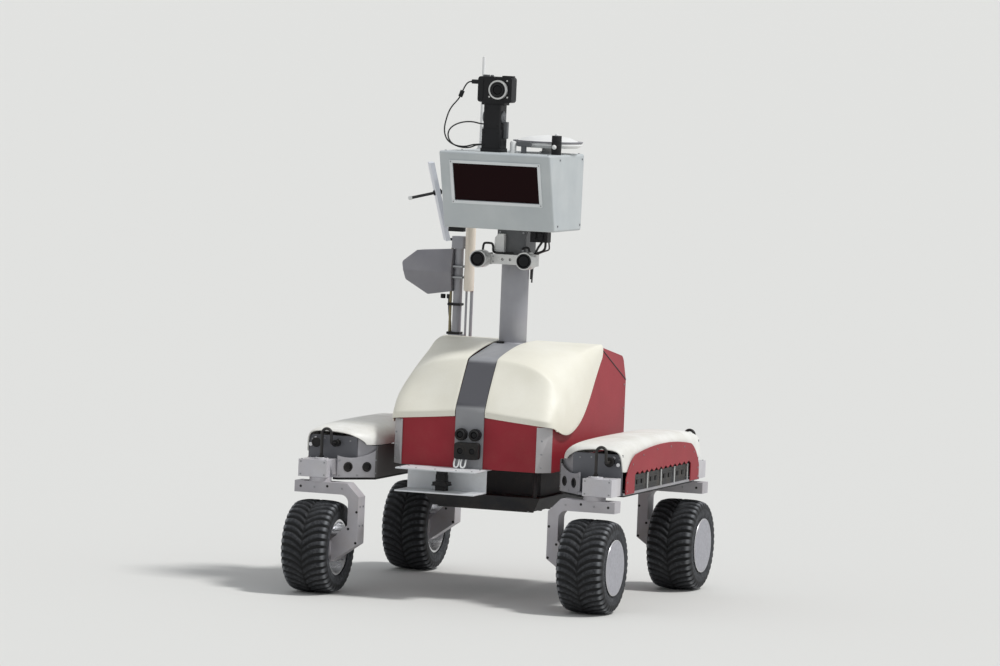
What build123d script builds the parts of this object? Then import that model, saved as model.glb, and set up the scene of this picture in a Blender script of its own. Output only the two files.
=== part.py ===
from build123d import *
import os
from math import pi, tan

# A four-wheeled scout rover for planetary field work, in millimetres.
# X runs across the rover with +X on its own left, the front faces -Y, Z is up,
# and the origin lies on the ground midway between the four wheels.

LEFT, RIGHT = 1, -1
FRONT, REAR = -1, 1

# corner of the rover: (side, end)
corners = {
    "front_left": (LEFT, FRONT),
    "front_right": (RIGHT, FRONT),
    "rear_left": (LEFT, REAR),
    "rear_right": (RIGHT, REAR),
}

# Clearances: a flat or round seat, and a running fit on a shaft
seat_gap = 0.3
running_gap = 0.05

# Wheels
half_track = 393
half_wheelbase = 386
wheel_radius = 126
rim_radius = 76
rim_half_width = 58
rim_wall = 6
tyre_overhang = 7
tyre_half_width = rim_half_width + tyre_overhang
tyre_slope_drop = 18
tyre_slope_width = 11
tyre_flats = 44
cover_margin = 3
cover_radius = rim_radius - cover_margin
cover_thickness = 8
wheel_web = 4
hub_radius = 26
hub_length = 50
axle_radius = 12
axle_length = 48

# Forks: lengths across are from the wheel's middle plane
arm_clearance = 20
fork_arm_height = 31
fork_top = 2 * wheel_radius + arm_clearance + fork_arm_height
fork_outer_reach = tyre_half_width
leg_clearance = 27
fork_leg = 30
leg_inner = tyre_half_width + leg_clearance
fork_inner_reach = leg_inner + fork_leg
fork_corner = 35
fork_curve = 22
fork_depth = 50
foot_reach = 48
foot_top = 24
foot_bottom = -38
foot_throat = 64
foot_heel = 14
housing_radius = 32
housing_inner_end = 10
bearing_radius = 30
bearing_height = 12

# Side pods, out to the line of the wheels
hull_half_width = 226
pod_gap = 36
pod_overhang = 62
pod_bottom = fork_top + bearing_height
pod_inner = hull_half_width + pod_gap
pod_outer = half_track + pod_overhang
pod_wall = 4
bulkhead_offset = 51
pod_half_length = half_wheelbase - bulkhead_offset
tray_thickness = 6
inner_wall_top = pod_bottom + 85
bulkhead_top = pod_bottom + 110

# Steering gearboxes, on the pods' noses
gearbox_setback = 7
gearbox_width = 82
gearbox_outer = pod_outer - gearbox_setback
gearbox_inner = gearbox_outer - gearbox_width
gearbox_length = 79
gearbox_height = 47
cap_radius = 20
cap_height = 4
plug_radius = 9.5
plug_length = 22
plug_height = pod_bottom + 90
plug_shift = 27
steering_cable_radius = 4
steering_cable_bend = 12
steering_cable_rise = 80

# Slanted nose plates of the pods
nose_clearance = 20
nose_setback = 2
nose_outer = gearbox_inner - nose_clearance
nose_run = nose_outer - pod_inner
nose_end = half_wheelbase - nose_setback
nose_start = nose_end - nose_run
nose_height_inner = 77
nose_height_outer = 60
nose_sag = 14
nose_hole_radius = 13
nose_hole_spacing = 56
nose_hole_height = 29

# Inner plates that close the pods behind the slanted noses
inner_plate_setback = 17
inner_plate_run = 48

# Pod cowls
cowl_wall = 4
cowl_crest = pod_bottom + 141
cowl_lip_rise = 125
cowl_lip = pod_bottom + cowl_lip_rise
cowl_lip_overhang = 15
cowl_lip_end = pod_half_length + cowl_lip_overhang
cowl_crest_setback = 105
cowl_crest_end = pod_half_length - cowl_crest_setback
cowl_shoulder = 68
cowl_shoulder_drop = 8
cowl_outer_edge = 20
cowl_lip_depth = 15
cowl_corner = 60

# Fenders
fender_setback = 14
fender_half_length = pod_half_length - fender_setback
fender_thickness = 3
fender_leg = 75
fender_foot = pod_bottom + 2
fender_corner = pod_bottom + 42
fender_top = pod_bottom + 122
fender_top_half = 245
fender_top_drop = 16
fender_arch_drop = 33
fender_arch_inset = 42
tooth_count = 12
tooth_base = pod_bottom + 51
tooth_height = 9

# Battery packs in each pod
pack_count = 4
pack_length = 108
pack_pitch = 118
pack_inset = 38
pack_setback = 6
pack_inner = pod_inner + pack_inset
pack_outer = pod_outer - pack_setback
pack_height = 44
divider_thickness = 4

# Pivot axles between hull and pods
pivot_height = pod_bottom + 68
pivot_radius = 15
pivot_flange_radius = 25
pivot_flange = 8

# Hull
hull_rise = 42
hull_height = 325
hull_front = -299
hull_rear = 345
hull_bottom = pod_bottom + hull_rise
hull_top = hull_bottom + hull_height
hull_chamfer = 33
hull_front_half = hull_half_width - hull_chamfer
deck_start = 104
deck_drop = 39
deck_rear_height = hull_top - deck_drop
deck_round = 20
crease_drop = 104
crease_rear_height = hull_top - crease_drop
shoulder_width = 10
bay_brow = hull_bottom + 138
bay_brow_depth = 29

# Centre strip
strip_half_width = 41
strip_thickness = 4
strip_bend_height = hull_bottom + 164
strip_knee_back = 86
strip_knee_drop = 37
strip_round = 40
strip_top_start = -25
spine_margin = 4
spine_depth = 30
strip_front = hull_front - strip_thickness

# Rear access panel
rear_panel_margin = 46
rear_panel_half_width = hull_half_width - rear_panel_margin
rear_panel_thickness = 3
rear_panel_edge = 22
rear_panel_corner = 12

# Body cowls, one each side of the centre strip
body_cowl_wall = 4
strip_gap = 2
cowl_side_gap = 10
cowl_top_gap = 5
body_cowl_inner = strip_half_width + strip_gap
body_cowl_outer = hull_half_width + cowl_side_gap
body_cowl_foot = hull_bottom + 129
body_cowl_top = hull_top + cowl_top_gap
body_cowl_nose = hull_front - body_cowl_wall
cowl_skirt = 60

# Silver corner strips
corner_strip_gap = 6

# Nose bracket and laser scanner
bracket_drop = 65
bracket_left_end = 56
bracket_right_end = -171
bracket_depth = 104
bracket_bottom = hull_bottom - bracket_drop
bracket_wall = 4
bracket_lap = 41
bracket_hole_radius = 3.3
bracket_hole_spacing_x = 180
bracket_hole_spacing_y = 60
scanner_x = -58
scanner_setback = 42
scanner_y = strip_front - scanner_setback
scanner_pad = 28
scanner_pad_height = 14
scanner_width = 42
scanner_corner = 5
scanner_base_height = 10
scanner_drum_radius = 17
scanner_drum_height = 30
scanner_draft = 3

# Underbody: a tray hung below the hull on a narrower box and on posts
belly_margin = 56
belly_half_width = hull_half_width - belly_margin
belly_start = -190
belly_end = 260
belly_depth = 117
belly_tray_height = 38
belly_slope = 24
belly_box_inset = 70
post_radius = 6
post_inset = 22

# Range sensor, with the two hazard cameras above it
sensor_rise = 48
sensor_height = hull_bottom + sensor_rise
sensor_width = 69
sensor_tall = 45
sensor_depth = 20
sensor_corner = 8
hazard_gap = 5
hazard_radius = 16.5
hazard_height = sensor_height + sensor_tall / 2 + hazard_gap + hazard_radius
hazard_spacing = 40
hazard_length = 14
hazard_wall = 5
hazard_recess = 4

# Mast and its mount block
mast_y = 22
mast_radius = 38
mast_wall = 4
mast_length = 232
mast_top = hull_top + mast_length
block_half = 42
block_height = 85
block_top = mast_top + block_height

# Stereo cameras on the mast
bar_height = 27
bar_drop = 12.5
bar_thickness = 8
bar_hole_radius = 4
bar_hole_spacing = 22
stereo_height = mast_top - bar_drop + bar_height / 2
stereo_spacing = 134
stereo_radius = 24
stereo_wall = 5
stereo_recess = 8
stereo_reach = 126
stereo_front = mast_y - stereo_reach
stereo_barrel = 46
stereo_box = 32
stereo_box_length = 34

# Scanning lidar at the head; lengths fore and aft are from the mast's centre
lidar_half_width = 160
lidar_height = 210
lidar_bottom = block_top
lidar_top = lidar_bottom + lidar_height
lidar_front_top = mast_y - 215
lidar_front_bottom = mast_y - 150
lidar_rear_top = mast_y + 80
lidar_rear_bottom = mast_y + 75
lidar_round = 6
window_side_margin = 38
window_half_width = lidar_half_width - window_side_margin
window_top = lidar_top - 24
window_bottom = lidar_bottom + 76
window_recess = 6
window_thickness = 4

# Instruments on the lidar's top
gps_x = 83
gps_y = mast_y - 10
gps_radius = 95.5
gps_stub_height = 16
gps_thickness = 34
gps_underside = lidar_top + gps_stub_height
gps_height = gps_underside + gps_thickness
gps_stub_radius = 16
gps_rim_inset = 14
gps_rim_rise = 8
gps_rim_top = 14
gps_dome_inset = 36
gps_dome_drop = 6
whip_x = -130
whip_y = mast_y + 40
whip_radius = 4.5
whip_length = 255
whip_tip = lidar_top + whip_length
whip_socket = 14
knob_edge = 17
knob_x = lidar_half_width - knob_edge
knob_y = mast_y - 112
knob_radius = 13.5
knob_height = 52

# Pan and tilt unit with its camera
pan_x = -36
pan_y = mast_y - 117
pan_corner = 6
pan_base_half = 30
pan_base_height = 10
pan_block_half = 28
pan_block_top = lidar_top + 62
tower_half = 25
tower_height = 66
tower_corner = 4
tower_top = pan_block_top + tower_height
saddle_height = 7
saddle_overhang = 8
camera_width = 98
camera_shift = 3
camera_x = pan_x + camera_shift
camera_bottom = tower_top + saddle_height
camera_height = 70
camera_depth = 40
camera_corner = 8
lens_shift = 13
lens_radius = 26
lens_length = 14
lens_wall = 7
lens_recess = 6
cable_radius = 2
camera_plug_radius = 6
camera_plug_length = 24
camera_plug_height = camera_bottom + 54
bead_radius = 6
bead_length = 18

# Rear pole with its radio housing
pole_inset = 23
pole_x = pole_inset - hull_half_width
pole_setback = 21
pole_y = deck_start + pole_setback
pole_radius = 12.5
pole_height = 281
pole_top = hull_top + pole_height
pole_foot = 22
pole_foot_rise = 8
clamp_half = 18
clamp_height = 34
clamp_corner = 4
radio_depth = 64
radio_reach = 146
radio_top_gap = 2
radio_tall = 129
radio_corner = 10
radio_ridge = 14

# Panel antenna at the lidar's side
antenna_y = mast_y - 42
antenna_width = 90
antenna_thickness = 12
antenna_length = 219
antenna_lean = 14
antenna_turn = 25
antenna_gap = 56
antenna_x = -lidar_half_width - antenna_gap
antenna_rise = 64
antenna_height = lidar_bottom + antenna_rise
rod_radius = 4
rod_rise = 25
rod_overhang = 81
rod_inner_reach = 90


def wheel_plane(side, end):
    """Upright plane across a wheel: x runs outboard, y up, from the hub."""
    hub = (side * half_track, end * half_wheelbase, wheel_radius)
    return Plane(origin=hub, x_dir=(side, 0, 0), z_dir=(0, -side, 0))


def axle_plane(side, end, outboard):
    """Plane square to an axle, so many millimetres outboard of the hub."""
    centre = (side * (half_track + outboard), end * half_wheelbase, wheel_radius)
    return Plane(origin=centre, x_dir=(0, side, 0), z_dir=(side, 0, 0))


def along_x(low, high, centre, radius):
    """Round bar along X between two ends inside the part being built."""
    with Locations(Location(((low + high) / 2, *centre), (0, 90, 0))):
        Cylinder(radius, abs(high - low))


def block(low, high):
    """Square-edged block between two corners inside the part being built."""
    middle = [(a + b) / 2 for a, b in zip(low, high)]
    with Locations(tuple(middle)):
        Box(*[abs(b - a) for a, b in zip(low, high)])


def bend_radii(route):
    """Largest tangent arc at each inner point that its two runs allow."""
    points = [Vector(*p) for p in route]
    radii = []
    for before, here, after in zip(points, points[1:], points[2:]):
        turn = (here - before).get_angle(after - here)
        shorter = min((here - before).length, (after - here).length)
        half_turn = turn * pi / 360
        radii.append(0.45 * shorter / tan(half_turn))
    return radii


def finish(builder, name):
    """Label the finished piece and write its file."""
    builder.part.label = name
    export_step(builder.part, f"parts/{name}.step")


os.makedirs("parts", exist_ok=True)

# Tyres, each a ring out to the tips of its tread bars, in flats that run across
# the tyre with one of them on the ground, with sloping shoulders and a round bore
tyre_bore = rim_radius + seat_gap
for corner, (side, end) in corners.items():
    with BuildPart() as tyre:
        with BuildSketch(axle_plane(side, end, -tyre_half_width)):
            RegularPolygon(wheel_radius, tyre_flats, major_radius=False, rotation=180 / tyre_flats)
        extrude(amount=2 * tyre_half_width)
        for flank in (0, -1):
            side_wall = tyre.faces().sort_by(Axis.X)[flank]
            chamfer(side_wall.edges(), tyre_slope_drop, tyre_slope_width, reference=side_wall)
        with BuildSketch(axle_plane(side, end, -tyre_half_width)):
            Circle(tyre_bore)
        extrude(amount=2 * tyre_half_width, mode=Mode.SUBTRACT)
    finish(tyre, f"tyre_{corner}")

# Rims, open on the inboard side, closed outboard by a flat cover over the web
web_inner = rim_half_width - wheel_web
hub_end = web_inner - hub_length
hub_bore = axle_radius + running_gap
rim_profile = [
    (-rim_half_width, rim_radius - rim_wall),
    (-rim_half_width, rim_radius),
    (rim_half_width, rim_radius),
    (rim_half_width, cover_radius),
    (rim_half_width + cover_thickness, cover_radius),
    (rim_half_width + cover_thickness, 0),
    (web_inner, 0),
    (web_inner, hub_bore),
    (hub_end, hub_bore),
    (hub_end, hub_radius),
    (web_inner, hub_radius),
    (web_inner, rim_radius - rim_wall),
]
for corner, (side, end) in corners.items():
    plane = wheel_plane(side, end)
    with BuildPart() as rim:
        with BuildSketch(plane):
            with BuildLine():
                Polyline(*rim_profile, close=True)
            make_face()
        revolve(axis=Axis(plane.origin, (1, 0, 0)))
    finish(rim, f"rim_{corner}")

# Forks, single-sided: an arm over the tyre, a leg down its inboard side with its
# foot slanting into the rim, and the drive housing that carries the stub axle
arm_top = fork_top - wheel_radius
arm_bottom = arm_top - fork_arm_height
for corner, (side, end) in corners.items():
    with BuildPart() as fork:
        with BuildSketch(wheel_plane(side, end)):
            with BuildLine():
                arm = Polyline(
                    (-leg_inner + fork_curve, arm_bottom),
                    (fork_outer_reach, arm_bottom),
                    (fork_outer_reach, arm_top),
                    (-fork_inner_reach + fork_corner, arm_top),
                    (-fork_inner_reach, arm_top - fork_corner),
                    (-fork_inner_reach, foot_heel),
                    (-foot_reach, foot_bottom),
                    (-foot_reach, foot_top),
                    (-leg_inner, foot_throat),
                    (-leg_inner, arm_bottom - fork_curve),
                )
                RadiusArc(arm @ 1, arm @ 0, fork_curve)
            make_face()
        extrude(amount=fork_depth / 2, both=True)
        with BuildSketch(axle_plane(side, end, -foot_reach)):
            Circle(housing_radius)
        extrude(amount=foot_reach - housing_inner_end)
        with BuildSketch(axle_plane(side, end, -housing_inner_end)):
            Circle(axle_radius)
        extrude(amount=axle_length)
        with BuildSketch(Plane.XY.offset(fork_top)):
            with Locations((side * half_track, end * half_wheelbase)):
                Circle(bearing_radius)
        extrude(amount=bearing_height - seat_gap)
    finish(fork, f"fork_{corner}")

# Pod frames: tray, inboard wall, slanted nose plates with an inner plate behind
# each, bulkheads and dividers
nose_length = nose_run * 2**0.5
inner_plate_length = (inner_plate_run + pod_wall) * 2**0.5
hood_foot = 3 * cowl_wall
hood_foot_length = (hood_foot + pod_wall) * 2**0.5
bulkhead = pod_half_length
bulkhead_outer = pod_outer - cowl_wall - seat_gap
with BuildPart() as pod_frames:
    for side in (LEFT, RIGHT):
        tray = [(pod_inner, -nose_start), (nose_outer, -nose_end), (gearbox_inner, -nose_end)]
        tray += [(gearbox_inner, -bulkhead), (pod_outer, -bulkhead)]
        tray += [(x, -y) for x, y in reversed(tray)]
        with BuildSketch(Plane.XY.offset(pod_bottom)):
            with BuildLine():
                Polyline(*[(side * x, y) for x, y in tray], close=True)
            make_face()
        extrude(amount=tray_thickness)
        block(
            (side * pod_inner, -nose_start, pod_bottom),
            (side * (pod_inner + pod_wall), nose_start, inner_wall_top),
        )
        for end in (FRONT, REAR):
            hand = side * end
            plate = Plane(
                origin=(side * pod_inner, end * nose_start, pod_bottom),
                x_dir=(side, end, 0),
                z_dir=(end, -side, 0),
            )
            with BuildSketch(plate):
                with BuildLine():
                    Line((0, 0), (nose_length, 0))
                    Line((nose_length, 0), (nose_length, nose_height_outer))
                    ThreePointArc(
                        (nose_length, nose_height_outer),
                        (nose_length / 2, (nose_height_inner + nose_height_outer) / 2 - nose_sag),
                        (0, nose_height_inner),
                    )
                    Line((0, nose_height_inner), (0, 0))
                make_face()
                with Locations((nose_length / 2, nose_hole_height)):
                    with GridLocations(nose_hole_spacing, 1, 2, 1):
                        Circle(nose_hole_radius, mode=Mode.SUBTRACT)
            extrude(amount=hand * pod_wall)
            inner_plate = Plane(
                origin=(side * pod_inner, end * (nose_start - inner_plate_setback), pod_bottom),
                x_dir=(side, end, 0),
                z_dir=(end, -side, 0),
            )
            with BuildSketch(inner_plate):
                with BuildLine():
                    Polyline(
                        (0, 0),
                        (inner_plate_length, 0),
                        (inner_plate_length, bulkhead_top - pod_bottom),
                        (hood_foot_length, inner_wall_top - pod_bottom),
                        (0, inner_wall_top - pod_bottom),
                        close=True,
                    )
                make_face()
            extrude(amount=hand * pod_wall)
            block(
                (side * (pod_inner + inner_plate_run), end * bulkhead, pod_bottom),
                (side * bulkhead_outer, end * (bulkhead - pod_wall), bulkhead_top),
            )
        for gap in range(pack_count - 1):
            y = (gap - (pack_count - 2) / 2) * pack_pitch
            block(
                (side * pack_inner, y - divider_thickness / 2, pod_bottom),
                (side * pack_outer, y + divider_thickness / 2, pod_bottom + pack_height),
            )
finish(pod_frames, "pod_frames")

# Battery packs, set in the trays and showing under the fenders
pack_floor = pod_bottom + tray_thickness
with BuildPart() as packs:
    for side in (LEFT, RIGHT):
        for pack in range(pack_count):
            y = (pack - (pack_count - 1) / 2) * pack_pitch
            block(
                (side * pack_inner, y - pack_length / 2, pack_floor),
                (side * pack_outer, y + pack_length / 2, pack_floor + pack_height),
            )
finish(packs, "battery_packs")

# Pod cowls, thin hoods open at both ends over the bulkheads
hood_section = [
    (pod_inner, inner_wall_top),
    (pod_inner, inner_wall_top + 4 * cowl_wall),
    (pod_inner + cowl_shoulder - 2 * cowl_lip_depth, cowl_crest - cowl_shoulder_drop),
    (pod_inner + cowl_shoulder, cowl_crest),
    (pod_outer - cowl_outer_edge - cowl_wall, cowl_crest),
    (pod_outer, cowl_crest - cowl_outer_edge),
    (pod_outer, tooth_base + tooth_height),
    (pod_inner + hood_foot, inner_wall_top),
]
hood_side = [
    (-fender_half_length, tooth_base),
    (-cowl_lip_end, cowl_lip - cowl_lip_depth),
    (-cowl_lip_end, cowl_lip),
    (-cowl_crest_end, cowl_crest + 2),
]
hood_side += [(-y, z) for y, z in reversed(hood_side)]
hollow_side = [(-cowl_lip_end - 1, pod_bottom), (-cowl_lip_end - 1, cowl_lip - cowl_wall)]
hollow_side += [(-cowl_crest_end, cowl_crest - cowl_wall)]
hollow_side += [(-y, z) for y, z in reversed(hollow_side)]
hood_plan = [
    (pod_inner, 2 * tray_thickness - nose_start),
    (pod_inner + cowl_corner, -cowl_lip_end),
    (pod_outer, -cowl_lip_end),
]
hood_plan += [(x, -y) for x, y in reversed(hood_plan)]
hollow_width = pod_outer - pod_inner - 2 * cowl_wall
with BuildPart() as pod_cowls:
    for side in (LEFT, RIGHT):
        with BuildPart(mode=Mode.PRIVATE) as hollow:
            with BuildSketch(Plane.XZ) as inner_section:
                with BuildLine():
                    Polyline(*[(side * x, z) for x, z in hood_section], close=True)
                make_face()
                offset(amount=-cowl_wall, mode=Mode.REPLACE)
                with Locations((side * (pod_inner + pod_outer) / 2, inner_wall_top)):
                    Rectangle(hollow_width, inner_wall_top - pod_bottom, align=(Align.CENTER, Align.MAX))
                    Rectangle(hollow_width, 3 * cowl_wall)
            extrude(amount=cowl_lip_end + 2, both=True)
            with BuildSketch(Plane.YZ):
                with BuildLine():
                    Polyline(*hollow_side, close=True)
                make_face()
            extrude(amount=side * pod_outer, mode=Mode.INTERSECT)
        with BuildPart(mode=Mode.PRIVATE) as hood:
            with BuildSketch(Plane.XZ):
                with BuildLine():
                    Polyline(*[(side * x, z) for x, z in hood_section], close=True)
                make_face()
            extrude(amount=cowl_lip_end, both=True)
            with BuildSketch(Plane.YZ):
                with BuildLine():
                    Polyline(*hood_side, close=True)
                make_face()
            extrude(amount=side * (pod_outer + 1), mode=Mode.INTERSECT)
            with BuildSketch(Plane.XY.offset(pod_bottom)):
                with BuildLine():
                    Polyline(*[(side * x, y) for x, y in hood_plan], close=True)
                make_face()
            extrude(amount=cowl_crest, mode=Mode.INTERSECT)
            add(hollow.part, mode=Mode.SUBTRACT)
        add(hood.part)
finish(pod_cowls, "pod_cowls")

# Fenders, flat panels with an arched top and a toothed lower edge
inner_foot = fender_half_length - fender_leg
tooth_pitch = 2 * inner_foot / tooth_count
teeth = []
for tooth in range(tooth_count):
    y = inner_foot - tooth * tooth_pitch
    teeth += [(y, tooth_base), (y - tooth_pitch / 2, tooth_base + tooth_height)]
teeth += [(-inner_foot, tooth_base)]
arch_middle = fender_half_length - fender_arch_inset
arch_height = fender_top - fender_arch_drop
arch_end = fender_top - fender_top_drop
with BuildPart() as fenders:
    for side in (LEFT, RIGHT):
        with BuildSketch(Plane.YZ.offset(side * pod_outer)):
            with BuildLine():
                Line((-fender_half_length, fender_foot), (-fender_half_length, fender_corner))
                ThreePointArc(
                    (-fender_half_length, fender_corner),
                    (-arch_middle, arch_height),
                    (-fender_top_half, arch_end),
                )
                ThreePointArc(
                    (-fender_top_half, arch_end), (0, fender_top), (fender_top_half, arch_end)
                )
                ThreePointArc(
                    (fender_top_half, arch_end),
                    (arch_middle, arch_height),
                    (fender_half_length, fender_corner),
                )
                Line((fender_half_length, fender_corner), (fender_half_length, fender_foot))
                Line((fender_half_length, fender_foot), (inner_foot, fender_foot))
                Polyline((inner_foot, fender_foot), *teeth)
                Line((-inner_foot, tooth_base), (-inner_foot, fender_foot))
                Line((-inner_foot, fender_foot), (-fender_half_length, fender_foot))
            make_face()
        extrude(amount=side * fender_thickness)
finish(fenders, "fenders")

# Steering gearboxes, each with a round cap over the steering axis
with BuildPart() as gearboxes:
    for side, end in corners.values():
        block(
            (side * gearbox_inner, end * bulkhead, pod_bottom),
            (side * gearbox_outer, end * (bulkhead + gearbox_length), pod_bottom + gearbox_height),
        )
        with BuildSketch(Plane.XY.offset(pod_bottom + gearbox_height)):
            with Locations((side * half_track, end * half_wheelbase)):
                Circle(cap_radius)
        extrude(amount=cap_height)
finish(gearboxes, "steering_gearboxes")

# Plugs on the bulkheads, where the steering cables come in
with BuildPart() as plugs:
    for side, end in corners.values():
        centre = (side * half_track + plug_shift, plug_height)
        with BuildSketch(Plane.XZ.offset(-end * bulkhead)):
            with Locations(centre):
                Circle(plug_radius)
        extrude(amount=-end * plug_length)
finish(plugs, "steering_plugs")

# Steering cables, a tight loop from each cap up and over to its plug
cap_top = pod_bottom + gearbox_height + cap_height
loop_radius = plug_shift / 2
loop_centre = cap_top + steering_cable_rise - loop_radius
with BuildPart() as steering_cables:
    for side, end in corners.values():
        x, y = side * half_track, end * half_wheelbase
        over = x + plug_shift
        plug_y = end * (bulkhead + plug_length)
        with BuildPart(mode=Mode.PRIVATE) as cable:
            with BuildLine():
                Line((x, y, cap_top), (x, y, loop_centre))
                ThreePointArc(
                    (x, y, loop_centre),
                    (x + loop_radius, y, loop_centre + loop_radius),
                    (over, y, loop_centre),
                )
                down = Line((over, y, loop_centre), (over, y, plug_height + steering_cable_bend))
                TangentArc(
                    down @ 1, (over, y - end * steering_cable_bend, plug_height), tangent=down % 1
                )
                Line((over, y - end * steering_cable_bend, plug_height), (over, plug_y, plug_height))
            with BuildSketch(Plane(origin=(x, y, cap_top), z_dir=(0, 0, 1))):
                Circle(steering_cable_radius)
            sweep()
        add(cable.part)
finish(steering_cables, "steering_cables")

# Hull: a closed equipment bay with chamfered front corners, sloping rear deck
# and a shoulder facet along each side, carrying a spine under the centre strip
spine_top = hull_top - strip_thickness
strip_bend = (hull_front, strip_bend_height)
strip_knee = (hull_front + strip_knee_back, hull_top - strip_knee_drop)
spine_line = [
    (hull_front, hull_bottom),
    strip_bend,
    strip_knee,
    (strip_top_start, spine_top),
    (deck_start, spine_top),
]
bay_line = [
    (hull_front, hull_bottom),
    (hull_front, bay_brow),
    (hull_front + bay_brow_depth, bay_brow),
    (hull_front + 4 * bay_brow_depth, bay_brow + spine_depth),
    (hull_front + 7 * bay_brow_depth, bay_brow + 2.5 * spine_depth),
    (deck_start, bay_brow + 3.5 * spine_depth),
    (deck_start, hull_top),
    (hull_rear, deck_rear_height),
    (hull_rear, hull_bottom),
]
spine_underside = [
    (deck_start, bay_brow + 3.4 * spine_depth),
    (hull_front + 7 * bay_brow_depth, bay_brow + 2 * spine_depth),
    (hull_front + bay_brow_depth, bay_brow - spine_depth / 2),
    (hull_front + bay_brow_depth, hull_bottom),
]
hull_plan = [
    (-hull_front_half, hull_front),
    (hull_front_half, hull_front),
    (hull_half_width, hull_front + hull_chamfer),
    (hull_half_width, hull_rear),
    (-hull_half_width, hull_rear),
    (-hull_half_width, hull_front + hull_chamfer),
]
with BuildPart() as hull:
    with BuildSketch(Plane.YZ):
        with BuildLine():
            Polyline(*bay_line, close=True)
        make_face()
    extrude(amount=hull_half_width, both=True)
    with BuildSketch(Plane.XY.offset(hull_bottom)):
        with BuildLine():
            Polyline(*hull_plan, close=True)
        make_face()
    extrude(amount=hull_height, mode=Mode.INTERSECT)
    for side in (LEFT, RIGHT):
        start = Vector(side * hull_half_width, deck_start, hull_top)
        crease = Vector(side * hull_half_width, hull_rear, crease_rear_height)
        rim_end = Vector(side * (hull_half_width - shoulder_width), hull_rear, deck_rear_height)
        facet = (crease - start).cross(rim_end - start) * side
        split(bisect_by=Plane(origin=start, z_dir=facet), keep=Keep.BOTTOM)
    fillet(hull.edges().filter_by(Axis.X).group_by(Axis.Y)[-1].sort_by(Axis.Z)[-1], deck_round)
    with BuildSketch(Plane.YZ):
        with BuildLine():
            Polyline(*spine_line, *spine_underside, close=True)
        make_face()
    extrude(amount=strip_half_width - spine_margin, both=True)
    for bend in (strip_bend, strip_knee):
        fillet(hull.edges().filter_by(Axis.X).sort_by_distance((0, *bend))[0], strip_round)
finish(hull, "hull")

# Silver strips on the chamfered front corners
with BuildPart() as corner_strips:
    for side in (LEFT, RIGHT):
        foot = [
            (side * hull_front_half, hull_front),
            (side * hull_half_width, hull_front + hull_chamfer),
            (side * hull_half_width, hull_front + hull_chamfer - strip_thickness),
            (side * hull_front_half, hull_front - strip_thickness),
        ]
        with BuildSketch(Plane.XY.offset(hull_bottom)):
            with BuildLine():
                Polyline(*foot, close=True)
            make_face()
        extrude(amount=body_cowl_foot - hull_bottom - corner_strip_gap)
finish(corner_strips, "corner_strips")

# Rear access panel on the hull's back
with BuildPart() as rear_panel:
    with BuildSketch(Plane.XZ.offset(-hull_rear)):
        with Locations((0, (hull_bottom + crease_rear_height) / 2)):
            RectangleRounded(
                2 * rear_panel_half_width,
                crease_rear_height - hull_bottom - 2 * rear_panel_edge,
                rear_panel_corner,
            )
    extrude(amount=-rear_panel_thickness)
finish(rear_panel, "rear_panel")

# Centre strip, the spine's line offset outward: up the nose and over to the mast
strip_region = [*spine_line, (deck_start, bay_brow), (hull_front + 2 * spine_depth, hull_bottom)]
strip_underside = [
    (hull_front + spine_depth, hull_bottom - spine_depth),
    (hull_front + spine_depth, bay_brow - spine_depth),
    (deck_start - spine_depth, bay_brow + 3 * spine_depth),
    (deck_start + 3 * spine_depth, bay_brow + 3 * spine_depth),
    (deck_start + 3 * spine_depth, hull_bottom - spine_depth),
]
beyond_strip = hull_height + 2 * spine_depth
with BuildPart() as centre_strip:
    with BuildSketch(Plane.YZ):
        with BuildLine():
            Polyline(*strip_region, close=True)
        make_face()
        offset(amount=strip_thickness, kind=Kind.INTERSECTION, mode=Mode.REPLACE)
        with BuildLine():
            Polyline(*strip_region, close=True)
        make_face(mode=Mode.SUBTRACT)
        with Locations((hull_front, hull_bottom)):
            Rectangle(
                2 * beyond_strip, spine_depth, align=(Align.CENTER, Align.MAX), mode=Mode.SUBTRACT
            )
        with Locations((deck_start, hull_bottom)):
            Rectangle(
                spine_depth, 2 * beyond_strip, align=(Align.MIN, Align.CENTER), mode=Mode.SUBTRACT
            )
        with BuildLine():
            Polyline(*strip_underside, close=True)
        make_face(mode=Mode.SUBTRACT)
    extrude(amount=strip_half_width, both=True)
    for bend in (strip_bend, strip_knee):
        for radius in (strip_round, strip_round + strip_thickness):
            across = centre_strip.edges().filter_by(Axis.X).sort_by_distance((0, *bend))
            fillet(across[0], radius)
finish(centre_strip, "centre_strip")

# Body cowls: thin shells lofted across the nose, from the strip out to the
# flank, with their rear edges swept forward down the side. Each station has
# x, then how far its front face stands behind the nose, the brow's drop below
# the cowl's top, the knee and the shoulder as (behind the nose, drop), and the
# drop at the rear.
cowl_stations = [
    (body_cowl_inner, 0, 165, (strip_knee_back, strip_knee_drop), (278, 0), 0),
    (hull_front_half - 43, 0, 181, (78, 81), (208, 19), 0),
    (hull_front_half, 0, 184, (86, 99), (211, 32), 8),
    (hull_half_width - cowl_top_gap, 25, 186, (96, 125), (213, 62), 37),
    (body_cowl_outer, 41, 187, (103, 141), (215, 85), 59),
]
# The flank's lower edge as (behind the nose, above the cowl's foot)
flank_turn = (323, 86)
flank_middle = (253, 10)
lobe_start = (143, -29)
lobe_middle = (85, -27)
lobe_end = (41, 0)


def flank_point(point):
    """Place on the flank in (y, z) of a point given from the cowl's nose and foot."""
    return (body_cowl_nose + point[0], body_cowl_foot + point[1])


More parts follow.
